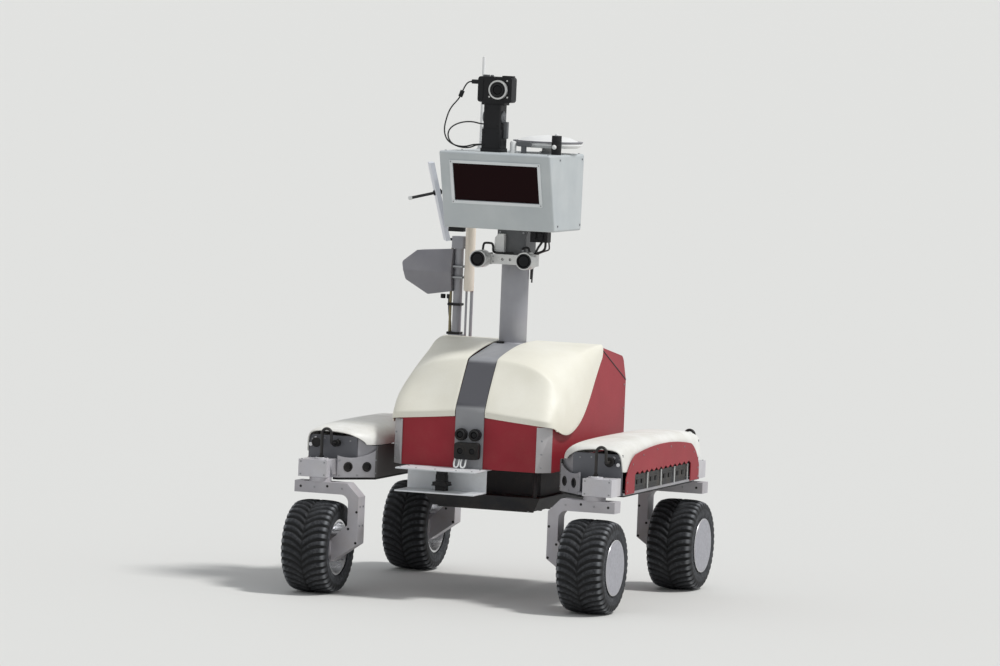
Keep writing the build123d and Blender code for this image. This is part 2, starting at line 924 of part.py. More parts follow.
def cowl_sheet(side, inset):
    """Closed loft over the cowl's outline, its surface set in by the inset."""
    reach = body_cowl_wall - 1 if inset else 0
    low = body_cowl_foot - cowl_skirt - inset
    with BuildPart(mode=Mode.PRIVATE) as sheet:
        for index, (x, setback, brow, knee, shoulder, rear) in enumerate(cowl_stations):
            x_here = x - reach if index == 0 else x
            if index == len(cowl_stations) - 1:
                x_here = x - inset
            front = body_cowl_nose + setback + inset
            top = body_cowl_top - inset
            outline = [
                (front, low),
                (front, top - brow),
                (body_cowl_nose + knee[0] + inset, top - knee[1]),
                (body_cowl_nose + shoulder[0] + inset, top - shoulder[1]),
                (deck_start + 2 * reach, top - rear),
                (deck_start + 2 * reach, low),
            ]
            with BuildSketch(Plane.YZ.offset(side * x_here)):
                with BuildLine():
                    Polyline(*outline, close=True)
                make_face()
        loft(ruled=True)
    return sheet.part


beyond = body_cowl_nose - 4 * body_cowl_wall
for name, side in (("left", LEFT), ("right", RIGHT)):
    with BuildPart() as cowl:
        add(cowl_sheet(side, 0))
        add(cowl_sheet(side, body_cowl_wall), mode=Mode.SUBTRACT)
        with BuildSketch(Plane.YZ):
            with BuildLine():
                Polyline(
                    flank_point(lobe_end),
                    (beyond, body_cowl_foot),
                    (beyond, body_cowl_top + cowl_skirt),
                    (deck_start, body_cowl_top + cowl_skirt),
                    (deck_start, hull_top),
                    flank_point(flank_turn),
                )
                ThreePointArc(flank_point(flank_turn), flank_point(flank_middle), flank_point(lobe_start))
                ThreePointArc(flank_point(lobe_start), flank_point(lobe_middle), flank_point(lobe_end))
            make_face()
        extrude(amount=side * (body_cowl_outer + body_cowl_wall), mode=Mode.INTERSECT)
    finish(cowl, f"body_cowl_{name}")

# Underbody: a tray with sloping sides, the box above it that stands back from its
# front edge, and posts up to the hull along that edge and the rear one
belly_middle = (belly_start + belly_end) / 2
belly_length = belly_end - belly_start
tray_top = hull_bottom - belly_depth + belly_tray_height
post_spacing = (2 * (belly_half_width - post_inset), belly_length - 2 * post_inset)
with BuildPart() as belly_pan:
    with BuildSketch(Plane.XY.offset(tray_top)):
        with Locations((0, belly_middle)):
            Rectangle(2 * belly_half_width, belly_length)
    with BuildSketch(Plane.XY.offset(hull_bottom - belly_depth)):
        with Locations((0, belly_middle)):
            Rectangle(2 * (belly_half_width - belly_slope), belly_length - 2 * belly_slope)
    loft(ruled=True)
    with BuildSketch(Plane.XY.offset(tray_top)):
        with Locations((0, belly_middle)):
            Rectangle(2 * (belly_half_width - post_inset), belly_length - 2 * belly_box_inset)
            with GridLocations(*post_spacing, 2, 2):
                Circle(post_radius)
    extrude(amount=belly_depth - belly_tray_height)
finish(belly_pan, "belly_pan")

# Pivot axles between the hull's sides and the pods
with BuildPart() as pivots:
    for side in (LEFT, RIGHT):
        along_x(side * hull_half_width, side * pod_inner, (0, pivot_height), pivot_radius)
        along_x(
            side * hull_half_width,
            side * (hull_half_width + pivot_flange),
            (0, pivot_height),
            pivot_flange_radius,
        )
finish(pivots, "pivot_axles")

# Nose bracket: a channel with its open side forward, its upper flange carried back
# under the hull, and holes in its lower flange
bracket_front = strip_front - bracket_depth
bracket_middle = (bracket_left_end + bracket_right_end) / 2
hole_y = strip_front - bracket_depth / 2
with BuildPart() as bracket:
    block(
        (bracket_right_end, strip_front - bracket_wall, bracket_bottom),
        (bracket_left_end, strip_front, hull_bottom),
    )
    block(
        (bracket_right_end, bracket_front, hull_bottom - bracket_wall),
        (bracket_left_end, strip_front + bracket_lap, hull_bottom),
    )
    block(
        (bracket_right_end, bracket_front, bracket_bottom),
        (bracket_left_end, strip_front, bracket_bottom + bracket_wall),
    )
    with BuildSketch(Plane.XY.offset(bracket_bottom)):
        with Locations((bracket_middle, hole_y)):
            with GridLocations(bracket_hole_spacing_x, bracket_hole_spacing_y, 2, 2):
                Circle(bracket_hole_radius)
    extrude(amount=bracket_wall, mode=Mode.SUBTRACT)
finish(bracket, "nose_bracket")

# Laser scanner on a pad on the bracket's lower flange
scanner_pad_foot = bracket_bottom + bracket_wall
scanner_foot = scanner_pad_foot + scanner_pad_height
with BuildPart() as scanner:
    with BuildSketch(Plane.XY.offset(scanner_pad_foot)):
        with Locations((scanner_x, scanner_y)):
            Rectangle(scanner_pad, scanner_pad)
    extrude(amount=scanner_pad_height)
    with BuildSketch(Plane.XY.offset(scanner_foot)):
        with Locations((scanner_x, scanner_y)):
            RectangleRounded(scanner_width, scanner_width, scanner_corner)
    extrude(amount=scanner_base_height)
    with BuildSketch(Plane.XY.offset(scanner_foot + scanner_base_height)):
        with Locations((scanner_x, scanner_y)):
            Circle(scanner_drum_radius)
    extrude(amount=scanner_drum_height, taper=scanner_draft)
finish(scanner, "laser_scanner")

# Hazard cameras, two short lenses on the strip
with BuildPart() as hazard:
    with BuildSketch(Plane.XZ.offset(-strip_front)):
        with Locations((0, hazard_height)):
            with GridLocations(hazard_spacing, 1, 2, 1):
                Circle(hazard_radius)
    extrude(amount=hazard_length)
    with BuildSketch(Plane.XZ.offset(-strip_front + hazard_length)):
        with Locations((0, hazard_height)):
            with GridLocations(hazard_spacing, 1, 2, 1):
                Circle(hazard_radius - hazard_wall)
    extrude(amount=-hazard_recess, mode=Mode.SUBTRACT)
finish(hazard, "hazard_cameras")

# Range sensor below them
with BuildPart() as sensor:
    with BuildSketch(Plane.XZ.offset(-strip_front)):
        with Locations((0, sensor_height)):
            RectangleRounded(sensor_width, sensor_tall, sensor_corner)
    extrude(amount=sensor_depth)
finish(sensor, "range_sensor")

# Mast tube on the strip, and the mount block on its top
with BuildPart() as mast:
    with BuildSketch(Plane.XY.offset(hull_top)):
        with Locations((0, mast_y)):
            Circle(mast_radius)
            Circle(mast_radius - mast_wall, mode=Mode.SUBTRACT)
    extrude(amount=mast_length)
finish(mast, "mast")

with BuildPart() as mast_block:
    block(
        (-block_half, mast_y - block_half, mast_top),
        (block_half, mast_y + block_half, block_top),
    )
finish(mast_block, "mast_block")

# Stereo bar, clamped to the block's front, and the two cameras on it
bar_front = stereo_front + stereo_barrel
bar_half = stereo_spacing / 2 - stereo_box / 2 - seat_gap
with BuildPart() as stereo_bar:
    with BuildSketch(Plane.XZ.offset(-bar_front)):
        with Locations((0, stereo_height)):
            Rectangle(2 * bar_half, bar_height)
            with GridLocations(bar_hole_spacing, 1, 2, 1):
                Circle(bar_hole_radius, mode=Mode.SUBTRACT)
    extrude(amount=-bar_thickness)
    block(
        (-block_half / 2, bar_front + bar_thickness, mast_top),
        (block_half / 2, mast_y - block_half, stereo_height + bar_height / 2),
    )
finish(stereo_bar, "stereo_bar")

with BuildPart() as stereo:
    for side in (LEFT, RIGHT):
        x = side * stereo_spacing / 2
        with BuildSketch(Plane.XZ.offset(-stereo_front)):
            with Locations((x, stereo_height)):
                Circle(stereo_radius)
        extrude(amount=-stereo_barrel)
        with BuildSketch(Plane.XZ.offset(-stereo_front)):
            with Locations((x, stereo_height)):
                Circle(stereo_radius - stereo_wall)
        extrude(amount=-stereo_recess, mode=Mode.SUBTRACT)
        block(
            (x - stereo_box / 2, bar_front, stereo_height - stereo_box / 2),
            (x + stereo_box / 2, bar_front + stereo_box_length, stereo_height + stereo_box / 2),
        )
finish(stereo, "stereo_cameras")

# Lidar case with its front sloping back towards the foot, and a window set in
front_run = lidar_front_bottom - lidar_front_top
lidar_face = Plane(
    origin=(0, lidar_front_bottom, lidar_bottom),
    x_dir=(1, 0, 0),
    z_dir=Vector(0, -lidar_height, -front_run).normalized(),
)
stretch = (front_run**2 + lidar_height**2) ** 0.5 / lidar_height
window_low = (window_bottom - lidar_bottom) * stretch
window_high = (window_top - lidar_bottom) * stretch
lidar_line = [
    (lidar_front_top, lidar_top),
    (lidar_rear_top, lidar_top),
    (lidar_rear_bottom, lidar_bottom),
    (lidar_front_bottom, lidar_bottom),
]
with BuildPart() as lidar:
    with BuildSketch(Plane.YZ):
        with BuildLine():
            Polyline(*lidar_line, close=True)
        make_face()
    extrude(amount=lidar_half_width, both=True)
    fillet(lidar.edges().filter_by(GeomType.LINE), lidar_round)
    with BuildSketch(lidar_face):
        with Locations((0, (window_low + window_high) / 2)):
            Rectangle(2 * window_half_width, window_high - window_low)
    extrude(amount=-window_recess, mode=Mode.SUBTRACT)
finish(lidar, "lidar_case")

with BuildPart() as window:
    with BuildSketch(lidar_face.offset(-window_recess)):
        with Locations((0, (window_low + window_high) / 2)):
            Rectangle(
                2 * (window_half_width - seat_gap),
                window_high - window_low - 2 * seat_gap,
            )
    extrude(amount=window_thickness)
finish(window, "lidar_window")

# Satellite antenna, a shallow disc on a stub
gps_profile = [
    (0, lidar_top),
    (gps_stub_radius, lidar_top),
    (gps_stub_radius, gps_underside),
    (gps_radius - gps_rim_inset, gps_underside),
    (gps_radius, gps_underside + gps_rim_rise),
    (gps_radius - cover_margin, gps_underside + gps_rim_top),
    (gps_radius - gps_dome_inset, gps_height - gps_dome_drop),
    (0, gps_height),
]
with BuildPart() as gps:
    with BuildSketch(Plane(origin=(gps_x, gps_y, 0), x_dir=(1, 0, 0), z_dir=(0, -1, 0))):
        with BuildLine():
            Polyline(*gps_profile, close=True)
        make_face()
    revolve(axis=Axis((gps_x, gps_y, 0), (0, 0, 1)))
finish(gps, "satellite_antenna")

# Whip antenna and the black knob beside the disc
with BuildPart() as whip:
    with BuildSketch(Plane.XY.offset(lidar_top)):
        with Locations((whip_x, whip_y)):
            Circle(2 * whip_radius)
    extrude(amount=whip_socket)
    with BuildSketch(Plane.XY.offset(lidar_top)):
        with Locations((whip_x, whip_y)):
            Circle(whip_radius)
    extrude(amount=whip_length)
finish(whip, "whip_antenna")

with BuildPart() as knob:
    with BuildSketch(Plane.XY.offset(lidar_top)):
        with Locations((knob_x, knob_y)):
            Circle(knob_radius)
    extrude(amount=knob_height)
finish(knob, "beacon")

# Pan and tilt unit: a fixed base plate and the turning block, tower and saddle
with BuildPart() as pan_base:
    with BuildSketch(Plane.XY.offset(lidar_top)):
        with Locations((pan_x, pan_y)):
            RectangleRounded(2 * pan_base_half, 2 * pan_base_half, pan_corner)
    extrude(amount=pan_base_height)
finish(pan_base, "pan_base")

pan_foot = lidar_top + pan_base_height + seat_gap
with BuildPart() as pan_head:
    with BuildSketch(Plane.XY.offset(pan_foot)):
        with Locations((pan_x, pan_y)):
            RectangleRounded(2 * pan_block_half, 2 * pan_block_half, pan_corner)
    extrude(amount=pan_block_top - pan_foot)
    with BuildSketch(Plane.XY.offset(pan_block_top)):
        with Locations((pan_x, pan_y)):
            RectangleRounded(2 * tower_half, 2 * tower_half, tower_corner)
    extrude(amount=tower_height)
    with BuildSketch(Plane.XY.offset(tower_top)):
        with Locations((pan_x, pan_y)):
            Rectangle(2 * (tower_half + saddle_overhang), camera_depth)
    extrude(amount=saddle_height)
finish(pan_head, "pan_head")

# Compact camera with its lens barrel
camera_front = pan_y - camera_depth / 2
lens_height = camera_bottom + camera_height / 2
with BuildPart() as camera:
    with BuildSketch(Plane.XZ.offset(-camera_front)):
        with Locations((camera_x, lens_height)):
            RectangleRounded(camera_width, camera_height, camera_corner)
    extrude(amount=-camera_depth)
finish(camera, "camera_body")

with BuildPart() as lens:
    with BuildSketch(Plane.XZ.offset(-camera_front)):
        with Locations((camera_x + lens_shift, lens_height)):
            Circle(lens_radius)
    extrude(amount=lens_length)
    with BuildSketch(Plane.XZ.offset(-camera_front + lens_length)):
        with Locations((camera_x + lens_shift, lens_height)):
            Circle(lens_radius - lens_wall)
    extrude(amount=-lens_recess, mode=Mode.SUBTRACT)
finish(lens, "camera_lens")

# Camera plug, and the bead that rides on its cable
camera_side = camera_x - camera_width / 2
plug_end = camera_side - camera_plug_length
with BuildPart() as camera_plug:
    along_x(camera_side, plug_end, (pan_y, camera_plug_height), camera_plug_radius)
finish(camera_plug, "camera_plug")

# Camera cable, from the plug out and down to the turning block's foot
block_side = pan_x - pan_block_half
camera_cable_foot = lidar_top + 19
camera_route = [
    (plug_end, pan_y, camera_plug_height),
    (plug_end - 12, pan_y, camera_plug_height),
    (plug_end - 24, pan_y - 3, camera_plug_height - 22),
    (plug_end - 33, pan_y - 5, camera_plug_height - 47),
    (-163, pan_y - 8, 1325),
    (-174, pan_y - 10, 1293),
    (-179, pan_y - 11, 1261),
    (-170, pan_y - 10, 1235),
    (-146, pan_y - 9, 1221),
    (-116, pan_y - 7, 1219),
    (-90, pan_y - 7, camera_cable_foot),
    (block_side, pan_y - 7, camera_cable_foot),
]

# Unit cable, arching from the tower's side out and back to the block's foot
tower_side = pan_x - tower_half
unit_cable_top = pan_block_top + 12
unit_cable_foot = lidar_top + 18
unit_route = [
    (tower_side, pan_y + 9, unit_cable_top),
    (tower_side - 18, pan_y + 9, unit_cable_top),
    (-106, pan_y + 10, 1295),
    (-138, pan_y + 10, 1290),
    (-162, pan_y + 9, 1272),
    (-168, pan_y + 9, 1249),
    (-156, pan_y + 8, 1228),
    (-132, pan_y + 7, 1218),
    (-106, pan_y + 8, 1218),
    (-88, pan_y + 8, unit_cable_foot),
    (block_side, pan_y + 8, unit_cable_foot),
]

bead_run = Vector(*camera_route[3]) - Vector(*camera_route[2])
bead_middle = (Vector(*camera_route[3]) + Vector(*camera_route[2])) / 2
with BuildPart() as cable_bead:
    with BuildSketch(Plane(origin=bead_middle, z_dir=bead_run.normalized())):
        Circle(bead_radius)
    extrude(amount=bead_length / 2, both=True)
finish(cable_bead, "cable_bead")

for name, route in (("camera_cable", camera_route), ("unit_cable", unit_route)):
    radii = bend_radii(route)
    print(name, "radii", [round(r, 1) for r in radii])
    with BuildPart() as cable:
        with BuildLine() as path:
            FilletPolyline(*route, radius=radii)
        with BuildSketch(Plane(origin=path.line @ 0, z_dir=path.line % 0)):
            Circle(cable_radius)
        sweep()
    print(name, "length", round(path.wire().length, 1), "volume", round(cable.part.volume, 1))
    finish(cable, name)

# Rear pole on the deck, its foot cut to the deck's slope, with a clamp at the top
with BuildPart() as pole:
    with BuildSketch(Plane.XY.offset(deck_rear_height)):
        with Locations((pole_x, pole_y)):
            Circle(pole_radius)
    extrude(amount=pole_top - clamp_height - deck_rear_height)
    with BuildSketch(Plane.XY.offset(deck_rear_height)):
        with Locations((pole_x, pole_y)):
            Circle(pole_foot)
    extrude(amount=hull_top + pole_foot_rise - deck_rear_height)
    with BuildSketch(Plane.XY.offset(pole_top - clamp_height)):
        with Locations((pole_x, pole_y)):
            RectangleRounded(2 * clamp_half, 2 * clamp_half, clamp_corner)
    extrude(amount=clamp_height)
    add(hull.part, mode=Mode.SUBTRACT)
finish(pole, "rear_pole")

# Radio housing, tapering outboard from the pole. Its outline goes round from
# the top at the pole as shares of its reach and of its height.
radio_inner = pole_x - pole_radius
radio_top = pole_top - clamp_height - radio_top_gap
radio_shares = [(0, 0), (0.72, 0.06), (1, 0.32), (0.92, 0.70), (0.48, 1), (0, 0.91)]
with BuildPart() as radio:
    with BuildSketch(Plane.XZ.offset(-pole_y)):
        with BuildLine():
            Polyline(
                *[(radio_inner - out * radio_reach, radio_top - down * radio_tall)
                  for out, down in radio_shares],
                close=True,
            )
        make_face()
    extrude(amount=radio_depth / 2, both=True)
    fillet(radio.edges().filter_by(Axis.Y).sort_by(Axis.X)[:4], radio_corner)
    front, back = pole_y - radio_depth / 2, pole_y + radio_depth / 2
    with BuildSketch(Plane.YZ.offset(radio_inner)):
        with BuildLine():
            Polyline(
                (front + radio_ridge, radio_top),
                (front, radio_top - radio_tall / 2),
                (front + radio_ridge, radio_top - radio_tall),
                (back, radio_top - radio_tall),
                (back, radio_top),
                close=True,
            )
        make_face()
    extrude(amount=-radio_reach, mode=Mode.INTERSECT)
finish(radio, "radio_housing")

# Panel antenna, turned and leaning outward at the lidar's side, on a rod that
# runs square through it to the lidar
leaning = Location((antenna_x, antenna_y, antenna_height), (0, 0, antenna_turn))
leaning *= Location((0, 0, 0), (0, -antenna_lean, 0))
rod_middle = (rod_inner_reach - rod_overhang) / 2
with BuildPart() as panel:
    with Locations(leaning):
        Box(antenna_thickness, antenna_width, antenna_length)
    with Locations(leaning * Location((rod_middle, 0, rod_rise), (0, 90, 0))):
        Cylinder(rod_radius, rod_inner_reach + rod_overhang)
    split(bisect_by=Plane.YZ.offset(-lidar_half_width), keep=Keep.BOTTOM)
finish(panel, "panel_antenna")
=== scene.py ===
# %% [markdown]
# # A small planetary rover, dressed around its construction model
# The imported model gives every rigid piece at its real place. This lesson adds what the eye
# expects on top of it: tread, moulded shells, glass, cables, screws, paint, dust and wear.
# Every length of the rover is a real one in millimetres, turned to metres by one factor.

# %% The fixed frame
import bpy
import bmesh
from math import cos, degrees, exp, pi, radians, sin
from mathutils import Matrix, Vector


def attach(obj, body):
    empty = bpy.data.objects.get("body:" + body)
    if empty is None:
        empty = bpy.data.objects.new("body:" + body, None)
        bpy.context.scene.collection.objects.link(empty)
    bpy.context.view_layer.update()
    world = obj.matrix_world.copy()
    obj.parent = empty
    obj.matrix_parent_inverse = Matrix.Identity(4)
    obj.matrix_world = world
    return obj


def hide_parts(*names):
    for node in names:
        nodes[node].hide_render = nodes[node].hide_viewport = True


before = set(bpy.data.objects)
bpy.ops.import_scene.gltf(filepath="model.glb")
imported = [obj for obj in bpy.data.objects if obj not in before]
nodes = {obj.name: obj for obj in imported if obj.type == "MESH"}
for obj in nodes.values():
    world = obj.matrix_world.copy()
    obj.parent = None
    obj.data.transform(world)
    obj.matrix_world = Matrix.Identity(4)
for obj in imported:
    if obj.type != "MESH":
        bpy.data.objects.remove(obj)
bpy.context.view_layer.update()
MM = 0.001
LEFT, RIGHT = 1, -1
FRONT, REAR = -1, 1
corners = {
    "front_left": (LEFT, FRONT),
    "front_right": (RIGHT, FRONT),
    "rear_left": (LEFT, REAR),
    "rear_right": (RIGHT, REAR),
}
print("nodes in the frame:", len(nodes))


# %% [markdown]
# ## Camera
# The photograph was taken from far away with a long lens, so lines hardly converge. A lens of
# 216 mm from 16.5 m gives that flat look. The camera's small roll keeps the lean of the mast.

# %% Camera
camera_yaw = radians(19.33)
camera_distance = 16.456
camera_height = 1.730
camera_roll = radians(2.3)
aim = Vector((-0.030, 0, 0.709))
lens_mm, sensor_mm = 216, 36

camera = bpy.data.objects.new("view_camera", bpy.data.cameras.new("view_camera"))
bpy.context.scene.collection.objects.link(camera)
camera.data.lens = lens_mm
camera.data.sensor_width = sensor_mm
camera.location = (
    camera_distance * sin(camera_yaw),
    -camera_distance * cos(camera_yaw),
    camera_height,
)
facing = (aim - camera.location).to_track_quat("-Z", "Y").to_matrix().to_4x4()
camera.matrix_world = (
    Matrix.Translation(camera.location) @ facing @ Matrix.Rotation(camera_roll, 4, "Z")
)
bpy.context.scene.camera = camera
print("camera at", [round(v, 3) for v in camera.location])


# %% [markdown]
# ## Materials: three helpers
# A colour is written as the sRGB hex value that a designer would pick, and one function turns
# it to the linear numbers that the shader works in. A second adds a node with its settings and
# links, so that each material below reads as a list of what feeds what. A third makes the empty
# material that each of them starts from.

# %% Colour and node helpers
def hex_colour(code):
    """Linear RGBA of an sRGB hex colour such as '#A8A8AA'."""
    channels = [int(code[i:i + 2], 16) / 255 for i in (1, 3, 5)]
    linear = [c / 12.92 if c <= 0.04045 else ((c + 0.055) / 1.055) ** 2.4 for c in channels]
    return (*linear, 1)


def add_node(tree, kind, settings=None, **inputs):
    """Adds a node, sets its properties, and feeds or sets each input named with _ for a space."""
    node = tree.nodes.new(kind)
    for name, value in (settings or {}).items():
        setattr(node, name, value)
    for name, value in inputs.items():
        key = int(name[1:]) if name[0] == "_" else name.replace("_", " ")
        if isinstance(value, bpy.types.NodeSocket):
            tree.links.new(value, node.inputs[key])
        else:
            node.inputs[key].default_value = value
    return node


def empty_material(name):
    """A new material with its tree, and the shader that is wired to its output."""
    material = bpy.data.materials.new(name)
    material.use_nodes = True
    tree = material.node_tree
    tree.nodes.clear()
    shader = tree.nodes.new("ShaderNodeBsdfPrincipled")
    add_node(tree, "ShaderNodeOutputMaterial", Surface=shader.outputs[0])
    return material, tree, shader


print("mid grey in linear light:", round(hex_colour("#808080")[0], 3))


# %% [markdown]
# ## Field dust
# The rover works on dry volcanic ground, so a tan dust lies on it: thick on the wheels, thin
# on the sides, and caught on faces that look up. The mask is the height over the ground,
# broken up by two sizes of noise. It is one node group, used by every finish of the recipe
# that follows.

# %% Dust node group
dust_colour = "#A2927B"
dust_clump = 60 * MM
# Real grit is finer than a millimetre: its specks are drawn this coarse so that they show.
dust_speck = 5 * MM
# Shares of the dust that are left high up, between the specks and on undersides
share_high_up, share_between, share_below = 0.08, 0.45, 0.45


def dust_group():
    """Node group that mixes a surface colour with field dust, by height and facing."""
    group = bpy.data.node_groups.new("field_dust", "ShaderNodeTree")
    for name, kind in (("Colour", "NodeSocketColor"), ("Amount", "NodeSocketFloat"),
                       ("Reach", "NodeSocketFloat")):
        group.interface.new_socket(name, in_out="INPUT", socket_type=kind)
    for name, kind in (("Colour", "NodeSocketColor"), ("Mask", "NodeSocketFloat")):
        group.interface.new_socket(name, in_out="OUTPUT", socket_type=kind)
    source = add_node(group, "NodeGroupInput")
    place = add_node(group, "ShaderNodeTexCoord")
    split = add_node(group, "ShaderNodeSeparateXYZ", Vector=place.outputs["Object"])
    low = add_node(group, "ShaderNodeMapRange", Value=split.outputs["Z"], From_Min=0.0,
                   From_Max=source.outputs["Reach"], To_Min=1.0, To_Max=share_high_up)
    clumps = add_node(group, "ShaderNodeTexNoise", Vector=place.outputs["Object"],
                      Scale=1 / dust_clump, Detail=4.0, Roughness=0.6)
    patch = add_node(group, "ShaderNodeMapRange", Value=clumps.outputs[0], From_Min=0.38,
                     From_Max=0.68)
    specks = add_node(group, "ShaderNodeTexNoise", Vector=place.outputs["Object"],
                      Scale=1 / dust_speck, Detail=2.0)
    fine = add_node(group, "ShaderNodeMapRange", Value=specks.outputs[0], From_Min=0.35,
                    From_Max=0.7, To_Min=share_between)
    facing = add_node(group, "ShaderNodeNewGeometry")
    up = add_node(group, "ShaderNodeSeparateXYZ", Vector=facing.outputs["Normal"])
    lie = add_node(group, "ShaderNodeMapRange", Value=up.outputs["Z"], From_Min=-0.2,
                   From_Max=1.0, To_Min=share_below)
    mask = low
    for share in (patch, fine, lie):
        mask = add_node(group, "ShaderNodeMath", {"operation": "MULTIPLY"},
                        _0=mask.outputs[0], _1=share.outputs[0])
    mask = add_node(group, "ShaderNodeMath", {"operation": "MULTIPLY", "use_clamp": True},
                    _0=mask.outputs[0], _1=source.outputs["Amount"])
    blend = add_node(group, "ShaderNodeMix", {"data_type": "RGBA"}, _0=mask.outputs[0],
                     _6=source.outputs["Colour"], _7=hex_colour(dust_colour))
    add_node(group, "NodeGroupOutput", Colour=blend.outputs[2], Mask=mask.outputs[0])
    return group


field_dust = dust_group()
print("nodes in the dust group:", len(field_dust.nodes))


# %% [markdown]
# ## One recipe for a worked surface
# Paint, anodising and moulded plastic differ in colour, gloss and grain, but all of them vary
# a little from place to place. This recipe gives a base colour two slightly different shades in
# soft patches, a grain that moves the roughness and the normal, and the dust on top.

# %% Surface recipe
gloss_below, gloss_above = 0.07, 0.09
grain_strength = 0.35
dust_roughness = 0.95
coat_roughness = 0.2


def surface(name, base, shade, roughness, grain, relief, dust=0.5, dust_reach=0.7,
            metallic=0.0, coat=0.0, patch=90 * MM, ior=1.5):
    """A finish: base and shade are hex colours, grain is the grit's size in metres, relief
    how deep it looks in metres, dust how much lies on it and dust_reach how high it climbs."""
    material, tree, shader = empty_material(name)
    place = add_node(tree, "ShaderNodeTexCoord")
    soft = add_node(tree, "ShaderNodeTexNoise", Vector=place.outputs["Object"],
                    Scale=1 / patch, Detail=5.0, Roughness=0.55)
    tone = add_node(tree, "ShaderNodeMapRange", Value=soft.outputs[0], From_Min=0.3,
                    From_Max=0.7)
    colour = add_node(tree, "ShaderNodeMix", {"data_type": "RGBA"}, _0=tone.outputs[0],
                      _6=hex_colour(base), _7=hex_colour(shade))
    dusty = add_node(tree, "ShaderNodeGroup", {"node_tree": field_dust},
                     Colour=colour.outputs[2], Amount=dust, Reach=dust_reach)
    grit = add_node(tree, "ShaderNodeTexNoise", Vector=place.outputs["Object"],
                    Scale=1 / grain, Detail=3.0)
    rough = add_node(tree, "ShaderNodeMapRange", Value=grit.outputs[0],
                     To_Min=roughness - gloss_below, To_Max=roughness + gloss_above)
    dull = add_node(tree, "ShaderNodeMix", {"data_type": "FLOAT"}, _0=dusty.outputs["Mask"],
                    _2=rough.outputs[0], _3=dust_roughness)
    bump = add_node(tree, "ShaderNodeBump", Strength=grain_strength, Distance=relief,
                    Height=grit.outputs[0])
    tree.links.new(dusty.outputs["Colour"], shader.inputs["Base Color"])
    tree.links.new(dull.outputs[0], shader.inputs["Roughness"])
    tree.links.new(bump.outputs[0], shader.inputs["Normal"])
    shader.inputs["Metallic"].default_value = metallic
    shader.inputs["Coat Weight"].default_value = coat
    shader.inputs["Coat Roughness"].default_value = coat_roughness
    shader.inputs["IOR"].default_value = ior
    return material


print("the grain moves the roughness over a range of", round(gloss_below + gloss_above, 2))


# %% [markdown]
# ## Finishes of the running gear and pods
# Each finish starts from what the real surface is, and the comment says what that gives the eye.
# The orange peel of paint and moulded shells is drawn at its real size. Blasting, turning,
# anodising, plating and mould texture are really about a tenth of a millimetre, too fine to show,
# so they are drawn as coarse as they need to be.

# %% Finishes of the running gear and pods
powder_peel, enamel_peel, abs_peel = 2.2 * MM, 3 * MM, 6 * MM
# Drawn coarser than they are, so that they show
blast_tooth, turning_mark, anodise_tooth = 0.9 * MM, 0.7 * MM, 0.8 * MM
mould_texture, zinc_grain = 1.2 * MM, 0.6 * MM

# Satin polyester powder coat over machined plate: even light grey, a fine orange peel.
fork_paint = surface("fork_powder_coat", "#B8B5B9", "#A8A5AA", 0.48, powder_peel, 0.10 * MM,
                     0.75, 0.42)
gearbox_paint = surface("gearbox_powder_coat", "#CECCCF", "#C0BEC3", 0.45, powder_peel, 0.10 * MM,
                        0.7, 0.6)
# Folded aluminium sheet, bead blasted: soft metal sheen with a fine tooth.
pod_aluminium = surface("blasted_aluminium_sheet", "#A6A6A8", "#8E8E92", 0.46, blast_tooth,
                        0.05 * MM, 0.8, 0.6, metallic=0.75)
frame_sheet = surface("pod_frame_sheet", "#A8A7AB", "#939297", 0.5, blast_tooth, 0.05 * MM,
                      0.7, 0.6, metallic=0.3)
# Turned aluminium: brighter and smoother.
turned_aluminium = surface("turned_aluminium", "#D6D6D8", "#C2C2C6", 0.24, turning_mark,
                           0.02 * MM, 0.35, 0.4, metallic=1.0)
# Vacuum formed white ABS: satin with a faint orange peel.
white_abs = surface("white_formed_abs", "#ECEBE6", "#E0DFD8", 0.42, abs_peel, 0.08 * MM, 0.55, 0.75)
# Injection moulded black ABS of the battery cases: even, with a fine mould texture.
battery_abs = surface("battery_case_abs", "#101115", "#1A1B1F", 0.5, mould_texture, 0.06 * MM,
                      0.6, 0.6)
# Zinc plated steel of screws and nuts: a bright grey metal, slightly mottled.
zinc_steel = surface("zinc_plated_steel", "#9FA1A3", "#85878A", 0.35, zinc_grain, 0.02 * MM,
                     0.4, 0.7, metallic=0.95)
print("finishes so far:", len(bpy.data.materials))


# %% [markdown]
# ## Finishes of the hull and its shells
# The cream cowls are the largest pale thing on the rover, so their two shades lie close together
# and stay below white. The red paint shows less sheen than its gloss would give, because it is
# slightly chalked by the sun: a lower index of refraction takes the sheen down.

# %% Finishes of the hull
# Vacuum formed cream ABS: satin, with a long soft orange peel.
cream_abs = surface("cream_formed_abs", "#F0EDE0", "#E7E3D3", 0.48, 8 * MM, 0.10 * MM, 0.22, 0.8,
                    patch=160 * MM)
# Deep red two pack paint on sheet metal: satin, slightly faded in patches.
red_paint = surface("red_two_pack_paint", "#9C2834", "#8E212C", 0.48, enamel_peel, 0.08 * MM,
                    0.25, 0.6, patch=140 * MM, ior=1.36)
# Anodised aluminium of the corner strips: dull silver.
strip_silver = surface("corner_strip_aluminium", "#BDBBBC", "#AEACAE", 0.5, anodise_tooth,
                       0.03 * MM, 0.5, 0.8, metallic=0.35)
# Grey enamel of the centre strip and white enamel of the bracket: smooth satin.
strip_paint = surface("strip_grey_enamel", "#98999C", "#8A8B8F", 0.5, enamel_peel, 0.05 * MM,
                      0.3, 0.8)
white_enamel = surface("white_enamel", "#E4E6E8", "#D9DCDF", 0.36, enamel_peel, 0.05 * MM,
                       0.45, 0.8)
